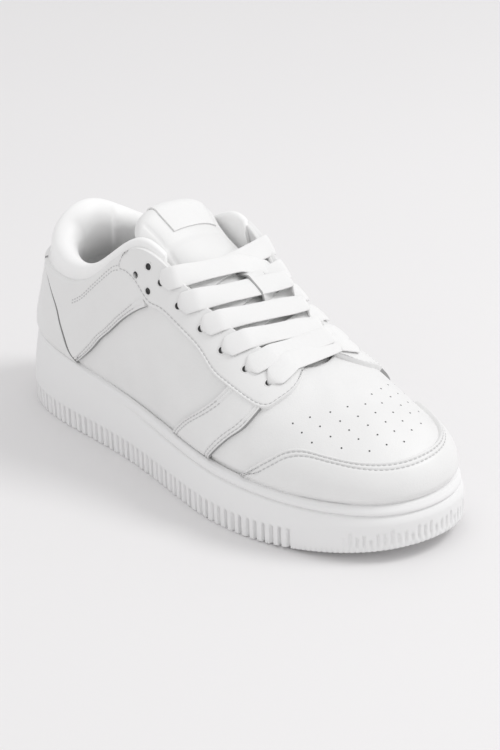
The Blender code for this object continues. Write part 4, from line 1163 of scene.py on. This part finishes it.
def make_collar():
    """Padded collar: at each place round the heel, a closed loop that leaves the upper's edge, rolls over as
    an arc and runs down inside as a lining that thins out, then back up along the wall."""
    run = np.linspace(1, -1, 300)
    t = run * COLLAR_RUN
    table = np.array(COLLAR)
    along = np.abs(run)
    radius = np.interp(along, table[:, 0], table[:, 1])
    lining = np.interp(along, table[:, 0], table[:, 2])
    kernel = np.ones(25) / 25
    radius = np.convolve(np.pad(radius, 12, mode="edge"), kernel, "valid") * COLLAR_ROLL
    lining = np.convolve(np.pad(lining, 12, mode="edge"), kernel, "valid") * COLLAR_LINING
    top = upper_face(t, np.ones_like(t))
    normal = upper_normal(t, np.ones_like(t))
    inward = -normal
    up = unit(top - upper_face(t, np.full_like(t, 0.97)))
    seat = UPPER_WALL + 1.5 * GAP
    fold = 1 - 0.02 * bump(np.abs(run), 0.36, 0.07)
    tall = 1 + 0.36 * bump(run, 0.03, 0.21)
    back = 1.8 * MM * bump(run, 0.0, 0.28)
    side = -0.2 * MM + 0 * run
    points = [skin(t, np.full_like(t, 0.965), side - 0.4 * MM), skin(t, np.full_like(t, 0.992), side)]
    for angle in np.linspace(195, -10, 22):
        turn = math.radians(angle)
        across = radius * fold * (1.1 + math.cos(turn)) + back
        rise = GAP + radius * fold * (0.95 + math.sin(turn)) * tall
        points.append(top + inward * across[:, None] + up * rise[:, None])
    rows = (0.92, 0.87, 0.82, 0.76, 0.68, 0.60, 0.52, 0.43, 0.34, 0.25, 0.16, 0.10)
    thick = (1.0, 0.97, 0.93, 0.88, 0.80, 0.72, 0.62, 0.52, 0.42, 0.33, 0.26, 0.20)
    wide = np.maximum(2.1 * radius - seat, lining)
    for v, share in zip(rows, thick):
        swell = lining + (wide - lining) * smooth(v, 0.78, 0.93)
        points.append(skin(t, np.full_like(t, v), -(seat + swell * share)))
    for v in rows[::-1]:
        points.append(skin(t, np.full_like(t, v), np.full_like(t, -seat)))
    points.append(top + inward * seat + up * GAP)
    loop = np.stack(points, 1)
    middle = loop.mean(1, keepdims=True)
    closed = np.concatenate([middle[:1] + 0 * loop[:1], loop, middle[-1:] + 0 * loop[-1:]], 0)
    # its paler leather paints light inside the collar
    item = surface("collar_padding", closed, [collar_painted_light_leather()], along=True, sharp=70)
    return finish_piece(item, "leather", "collar")


def tongue_values(s):
    """Tongue table in metres on a smooth curve, read at s from 0 at the tucked end to 1 at the top."""
    scale = (SOLE_LENGTH, INSTEP_HEIGHT, BALL_WIDTH, BALL_WIDTH, BALL_WIDTH, BALL_WIDTH, TONGUE_THICKNESS)
    return open_curve(np.array(TONGUE) * scale, s)


def tongue_frame(s, u):
    """Front point, unit normal, unit tangent and thickness of the tongue at (s, u); u runs across it."""
    s, u = np.broadcast_arrays(np.asarray(s, float), np.asarray(u, float))
    s = s * (1 - TONGUE_CORNER * u ** 4)
    step = 1e-3
    low, high = tongue_values(np.clip(s - step, 0, 1)), tongue_values(np.clip(s + step, 0, 1))
    zero = np.zeros_like(s)
    tangent = unit(np.stack([high[..., 0] - low[..., 0], zero, high[..., 1] - low[..., 1]], -1))
    normal = np.stack([tangent[..., 2], zero, -tangent[..., 0]], -1)
    x, z, centre, half, drop, tilt, thick = np.moveaxis(tongue_values(s), -1, 0)
    thin = 0.12 + 0.88 * np.sqrt(np.clip(1 - np.abs(u) ** 3.2, 0, 1))
    middle = np.stack([x, centre + half * u, z], -1)
    front = middle - normal * (drop * u ** 2 + tilt * u + thick * (1 - thin) / 2)[..., None]
    return front, normal, tangent, thick * thin


def tongue_lines(u, rows, lift, quilt=True):
    """Lengthwise loops of the tongue at each u: up the front, over a half circle at the top, and down the
    back."""
    front, normal, tangent, thick = tongue_frame(rows[None, :], u[:, None])
    rise = lift + 0 * thick
    if quilt:
        band = smooth(np.abs(u[:, None]), 0.72, 0.80)
        rise = rise - 0.5 * MM * bump(np.abs(u[:, None]), 0.78, 0.035) * smooth(rows[None, :], 0.3, 0.5)
        rise = rise - 0.7 * MM * bump(rows[None, :], 0.845, 0.018) * (1 - band)
    outer = front + normal * rise[..., None]
    radius = thick[:, -1:] / 2
    middle = front[:, -1] - normal[:, -1] * radius
    turns = np.radians(np.linspace(12, 168, 13))
    crest = middle[:, None] + (normal[:, -1:] * np.cos(turns)[None, :, None]
                               + tangent[:, -1:] * np.sin(turns)[None, :, None]) * (radius + lift)[..., None]
    back = front - normal * (thick + lift)[..., None]
    return np.concatenate([outer, crest, back[:, ::-1]], 1)


def make_tongue():
    """Padded tongue with pressed seams near its borders and under the label."""
    u = np.sin(np.linspace(-1, 1, 61) * math.pi / 2)
    rows = np.linspace(0, 1, 110)
    loops = tongue_lines(u, rows, 0.0)
    middle = (loops + loops[:, ::-1]) / 2
    closed = np.concatenate([middle[:1], loops, middle[-1:]], 0)
    item = surface("tongue_padding", closed, [soft_leather()], along=True, sharp=70)
    return finish_piece(item, "leather", "tongue")


def make_label():
    """Plain woven strip folded over the top of the tongue."""
    u = np.linspace(-0.44, 0.70, 40)
    rows = np.linspace(0.885, 1, 24)
    outer = tongue_lines(u, rows, 0.9 * MM, False)
    inner = tongue_lines(u, rows, 0.15 * MM, False)
    item = shell("label_strip", outer, inner, [label_cloth()], sharp=60)
    return finish_piece(item, "label", "tongue_label")


def make_keeper():
    """Leather loop on the tongue that holds the laces: a strip along it, sewn down at both ends and arched
    over the crossing by a level bell, its height a smooth step up and a smooth step down."""
    rows = np.linspace(KEEPER[0], KEEPER[1], 60)
    u = np.linspace(KEEPER[2], KEEPER[3], 40)
    place = (rows - rows[0]) / (rows[-1] - rows[0])
    rise = 0.2 * MM + KEEPER_ARCH * smooth(place, 0.05, 0.32) * smooth(-place, -0.95, -0.68)
    slant = KEEPER_SLANT * (u / u[-1])
    front, normal, _, _ = tongue_frame(rows[None, :] + slant[:, None], u[:, None])
    outer = front + normal * (rise[None, :, None] + 1.0 * MM)
    inner = front + normal * rise[None, :, None]
    # grey cut edge on the keeper's side paints the dark shade slit beside its raised edge
    item = shell("lace_keeper", outer.transpose(1, 0, 2), inner.transpose(1, 0, 2),
                 [soft_leather(), edge_shade_leather()], sharp=60, shaded_edge=(3, 1, 1))
    return finish_piece(item, "leather")


class SNEAKER_OT_collar(bpy.types.Operator):
    """Padded collar and its lining"""

    bl_idname = "sneaker.collar"
    bl_label = "Collar"

    def execute(self, context):
        make_collar()
        return {"FINISHED"}


class SNEAKER_OT_tongue(bpy.types.Operator):
    """Padded tongue and its plain label"""

    bl_idname = "sneaker.tongue"
    bl_label = "Tongue"

    def execute(self, context):
        make_tongue()
        make_label()
        make_keeper()
        return {"FINISHED"}


# Laces


def tongue_height(x, y):
    """Height z of the tongue's front over a place in plan, from its nearest middle line."""
    s = np.linspace(0, 1, 400)
    at = np.interp(-np.asarray(x), -tongue_values(s)[:, 0], s)
    values = tongue_values(at)
    u = np.clip((y - values[..., 2]) / values[..., 3], -1, 1)
    front, normal, _, _ = tongue_frame(at, u)
    # the front is moved along its normal, so step back to the asked x along the surface
    slope = -normal[..., 0] / normal[..., 2]
    return front[..., 2] + slope * (x - front[..., 0]), normal


def taut(heights, floor, rounds=400):
    """String pulled tight over a floor: each point settles between its neighbours, never under the floor."""
    z = np.maximum(heights, floor)
    for _ in range(rounds):
        z[1:-1] = np.maximum(floor[1:-1], (z[:-2] + z[2:]) / 2)
    return z


def over_stay(row, side, far):
    """Way of a lace from its hole up the stay to the edge, as points and normals: it crosses the edge at the
    place that makes the way to the far point shortest."""
    t, v = eyelet(row, side)
    places = t + np.linspace(-0.022, 0.022, 89)
    height = STAY_THICKNESS + 1.2 * MM
    edge = skin(places, np.full_like(places, 0.99), np.full_like(places, height))
    cost = np.linalg.norm(edge - skin(t, v, height), axis=1) + np.linalg.norm(edge - far, axis=1)
    cross = places[int(np.argmin(cost))]
    share = np.array([0.04, 0.07, 0.16, 0.30, 0.50, 0.72, 0.90, 1.0])
    lift = STAY_THICKNESS + GAP + np.array([-1.9, -0.3, 0.75, 1.05, 1.1, 1.1, 1.05, 1.0]) * MM
    where_t, where_v = t + (cross - t) * share, v + (0.992 - v) * share
    return skin(where_t, where_v, lift), upper_normal(where_t, where_v)


def span(a, b, count, extra):
    """Taut stretch from a to b over the tongue, and over what extra(points) asks, with its normals."""
    share = np.linspace(0, 1, count)[1:-1]
    chord = a + (b - a) * share[:, None]
    floor, normal = tongue_height(chord[:, 0], chord[:, 1])
    floor = np.maximum(floor + 0.95 * MM, extra(chord))
    heights = np.concatenate([[a[2]], chord[:, 2], [b[2]]])
    chord[:, 2] = taut(heights, np.concatenate([[-1], floor, [-1]]))[1:-1]
    return chord, normal, share


def lace_run(row, side, under=()):
    """Middle line and normals of one crossing: from its lace hole, over the stay's edge, across the tongue,
    above the runs under it, and under the far stay's edge between two lace holes."""
    here, below = EYELETS[row][0], EYELETS[row - 1][0]
    far_t = np.full(3, here + (below - here) * DIVE["lateral" if side else "medial"])
    far_t = far_t if side else medial(far_t)
    end_v, end_lift = np.array([0.985, 0.93, 0.86]), np.array([-2.9, -3.1, -3.0]) * MM
    end, end_n = skin(far_t, end_v, end_lift), upper_normal(far_t, end_v)
    start, start_n = over_stay(row, side, end[0])

    def above(points):
        floor = np.full(len(points), -1.0)
        for run in under:
            apart = np.linalg.norm(points[:, None, :2] - run[None, :, :2], axis=2)
            height = run[apart.argmin(1), 2] + LACE_OVER
            floor = np.maximum(floor, height - LACE_FALL * smooth(apart.min(1), *LACE_REACH))
        return floor

    chord, normal, share = span(start[-1], end[0], 40, above)
    blend = smooth(share, 0.0, 0.35)[:, None]
    fade = smooth(share, 0.75, 1.0)[:, None]
    normals = unit(start_n[-1] * (1 - blend) + normal * blend * (1 - fade) + end_n[0] * fade)
    return np.vstack([start, chord, end]), np.vstack([start_n, normals, end_n]), chord


def bar_run():
    """Middle line and normals of the straight bar over both lowest lace holes."""
    ends = [skin(eyelet(0, side)[0], 0.99, STAY_THICKNESS + 1.3 * MM) for side in (0, 1)]
    left, left_n = over_stay(0, 0, ends[1])
    right, right_n = over_stay(0, 1, ends[0])
    chord, normal, share = span(left[-1], right[-1], 30, lambda points: np.full(len(points), -1.0))
    blend = np.sin(math.pi * share)[:, None]
    ends = np.where(share[:, None] < 0.5, left_n[-1], right_n[-1])
    normals = unit(ends * (1 - blend) + normal * blend)
    return np.vstack([left, chord, right[::-1]]), np.vstack([left_n, normals, right_n[::-1]])


def lace_piece(points, normals, both_ends=False):
    """Flat lace along a line: a flattened oval, squared at its sides, carried along it and gathered narrow
    and thick where it goes into a lace hole."""
    sizes = bpy.context.scene.sneaker_sizes
    run = lengths(points, 0)
    total = run[-1]
    at = np.linspace(0, total, 150)
    line = np.stack([np.interp(at, run, points[:, k]) for k in range(3)], -1)
    face = np.stack([np.interp(at, run, normals[:, k]) for k in range(3)], -1)
    for _ in range(10):
        line[1:-1] = line[1:-1] * 0.5 + (line[:-2] + line[2:]) * 0.25
        face[1:-1] = face[1:-1] * 0.5 + (face[:-2] + face[2:]) * 0.25
    along = unit(np.gradient(line, axis=0))
    across = unit(np.cross(along, face))
    face = np.cross(across, along)
    gather = 1 - smooth(at, 1.2 * MM, 5.5 * MM)
    if both_ends:
        gather = np.maximum(gather, 1 - smooth(total - at, 1.2 * MM, 5.5 * MM))
    width = sizes.lace_width * (1 - 0.66 * gather)
    if not both_ends:
        width = width * (1 - 0.4 * smooth(at, total - 15 * MM, total - 5 * MM))
    thick = sizes.lace_thickness * (1 + 0.5 * gather)
    angle = np.arange(28) / 28 * 2 * math.pi
    c, s = np.cos(angle), np.sin(angle)
    wide = np.sign(c) * np.abs(c) ** 0.45
    high = np.sign(s) * np.abs(s) ** 0.6
    crown = 1 + 0.12 * np.cos(wide * math.pi)
    ring = line[:, None] + across[:, None] * (wide[None] * width[:, None] / 2)[..., None] + face[:, None] * (
        (high * crown)[None] * thick[:, None] / 2)[..., None]
    closed = np.concatenate([line[:1, None] + 0 * ring[:1], ring, line[-1:, None] + 0 * ring[-1:]], 0)
    return closed


def make_laces():
    """The bar and the ten crossings as separate runs of one flat lace: the lateral runs pass over the
    medial ones."""
    pieces = [("lace_bar", *bar_run(), True)]
    lower = {}
    for row in range(1, LACED):
        points, normals, lower[row] = lace_run(row, 1)
        pieces.append(("lace_medial_" + str(row + 1), points, normals, False))
    for row in range(1, LACED):
        points, normals, _ = lace_run(row, 0, [lower[k] for k in (row, row + 1) if k in lower])
        pieces.append(("lace_lateral_" + str(row + 1), points, normals, False))
    for name, points, normals, both in pieces:
        item = surface(name, lace_piece(points, normals, both), [lace_cloth()], along=True, sharp=80)
        if name == "lace_bar":
            finish_piece(item, "lace_fabric", "laces")
        else:
            finish_piece(item, "lace_fabric")


class SNEAKER_OT_laces(bpy.types.Operator):
    """Flat lace through the lace holes"""

    bl_idname = "sneaker.laces"
    bl_label = "Laces"

    def execute(self, context):
        make_laces()
        return {"FINISHED"}


# Studio

CAMERA_PLACE = (0.73159, -0.62270, 0.51308)
CAMERA_TARGET = (0.00869, 0.00579, 0.045)
CAMERA_ROLL = -1.6194
CAMERA_LENS = 104.6
FLOOR_REACH = 3.0

# Lights as place, power in watts and size, and the strength of the plain sky
KEY_LIGHT = ((0.75, 0.75, 1.35), 9.5, 0.6)
FILL_LIGHT = ((0.2, -1.5, 0.9), 1.0, 1.4)
SKY = 0.80


def make_stage():
    """Camera at the photo's angle, a pale floor, and soft lights."""
    scene = bpy.context.scene
    place = np.array(CAMERA_PLACE)
    ahead = unit(np.array(CAMERA_TARGET) - place)
    right = unit(np.cross(ahead, (0, 0, 1)))
    up = np.cross(right, ahead)
    roll = math.radians(CAMERA_ROLL)
    x = right * math.cos(roll) + up * math.sin(roll)
    y = np.cross(-ahead, x)
    camera = bpy.data.cameras.new("camera")
    camera.lens = CAMERA_LENS
    camera.sensor_width = 36
    camera.sensor_fit = "AUTO"
    view = bpy.data.objects.new("camera", camera)
    view.matrix_world = Matrix([[x[k], y[k], -ahead[k], place[k]] for k in range(3)] + [[0, 0, 0, 1]])
    scene.collection.objects.link(view)
    scene.camera = view

    colours = scene.sneaker_colours
    material, tree, body, node = shader("studio", tuple(colours.studio), 0.9)
    spot = node("ShaderNodeTexNoise", {"Vector": node("ShaderNodeTexCoord").outputs["Object"], "Scale": 3.0})
    tint(tree, body, node, spot.outputs["Fac"], tuple(c * 0.985 for c in colours.studio),
         tuple(min(1, c * 1.01) for c in colours.studio))
    away = np.array([ahead[0], ahead[1], 0]) / math.hypot(ahead[0], ahead[1])
    side = np.array([-away[1], away[0], 0])
    reach = np.linspace(-FLOOR_REACH, FLOOR_REACH, 5)
    grid = away * reach[:, None, None] + side * reach[None, :, None]
    item = surface("studio_floor", grid, [material], sharp=None)
    if item.data.polygons[0].normal.z < 0:
        item.data.flip_normals()

    def area(name, spot_at, power, size, target=(0.0, 0.0, 0.04)):
        data = bpy.data.lights.new(name, "AREA")
        data.energy = power
        data.shape = "DISK"
        data.size = size
        made = bpy.data.objects.new(name, data)
        back = unit(np.array(spot_at) - np.array(target))
        sideways = unit(np.cross((0, 0, 1.0), back))
        high = np.cross(back, sideways)
        made.matrix_world = Matrix([[sideways[k], high[k], back[k], spot_at[k]] for k in range(3)]
                                   + [[0, 0, 0, 1]])
        scene.collection.objects.link(made)

    area("key", *KEY_LIGHT)
    area("fill", *FILL_LIGHT)
    world = bpy.data.worlds.new("studio")
    scene.world = world
    world.use_nodes = True
    world.node_tree.nodes["Background"].inputs["Color"].default_value = (1.0, 0.995, 1.0, 1)
    world.node_tree.nodes["Background"].inputs["Strength"].default_value = SKY
    scene.view_settings.view_transform = "Standard"


class SNEAKER_OT_stage(bpy.types.Operator):
    """Camera, pale studio and soft lights"""

    bl_idname = "sneaker.stage"
    bl_label = "Studio"

    def execute(self, context):
        make_stage()
        return {"FINISHED"}


# Panel and start


class SNEAKER_PT_panel(bpy.types.Panel):
    """Sidebar panel of the sneaker"""

    bl_idname = "SNEAKER_PT_panel"
    bl_label = "Dance Sneaker"
    bl_space_type = "VIEW_3D"
    bl_region_type = "UI"
    bl_category = "Sneaker"

    def draw(self, context):
        column = self.layout.column()
        for kind in OPERATORS:
            column.operator(kind.bl_idname, text=kind.bl_label)
        for group in (context.scene.sneaker_sizes, context.scene.sneaker_colours):
            for key in group.__annotations__:
                column.prop(group, key)


OPERATORS = (SNEAKER_OT_stage, SNEAKER_OT_sole, SNEAKER_OT_upper, SNEAKER_OT_overlays, SNEAKER_OT_stitching,
             SNEAKER_OT_holes, SNEAKER_OT_collar, SNEAKER_OT_tongue, SNEAKER_OT_laces)
CLASSES = (SneakerSizes, SneakerColours) + OPERATORS + (SNEAKER_PT_panel,)


def register():
    """Add the classes and the scene's settings."""
    for kind in CLASSES:
        bpy.utils.register_class(kind)
    bpy.types.Scene.sneaker_sizes = PointerProperty(type=SneakerSizes)
    bpy.types.Scene.sneaker_colours = PointerProperty(type=SneakerColours)


def unregister():
    """Take the classes and the scene's settings away."""
    del bpy.types.Scene.sneaker_colours
    del bpy.types.Scene.sneaker_sizes
    for kind in reversed(CLASSES):
        bpy.utils.unregister_class(kind)


def main():
    """Build every piece in order."""
    register()
    bpy.ops.sneaker.stage()
    bpy.ops.sneaker.sole()
    bpy.ops.sneaker.upper()
    bpy.ops.sneaker.overlays()
    bpy.ops.sneaker.stitching()
    bpy.ops.sneaker.holes()
    bpy.ops.sneaker.collar()
    bpy.ops.sneaker.tongue()
    bpy.ops.sneaker.laces()


if __name__ == "__main__":
    main()
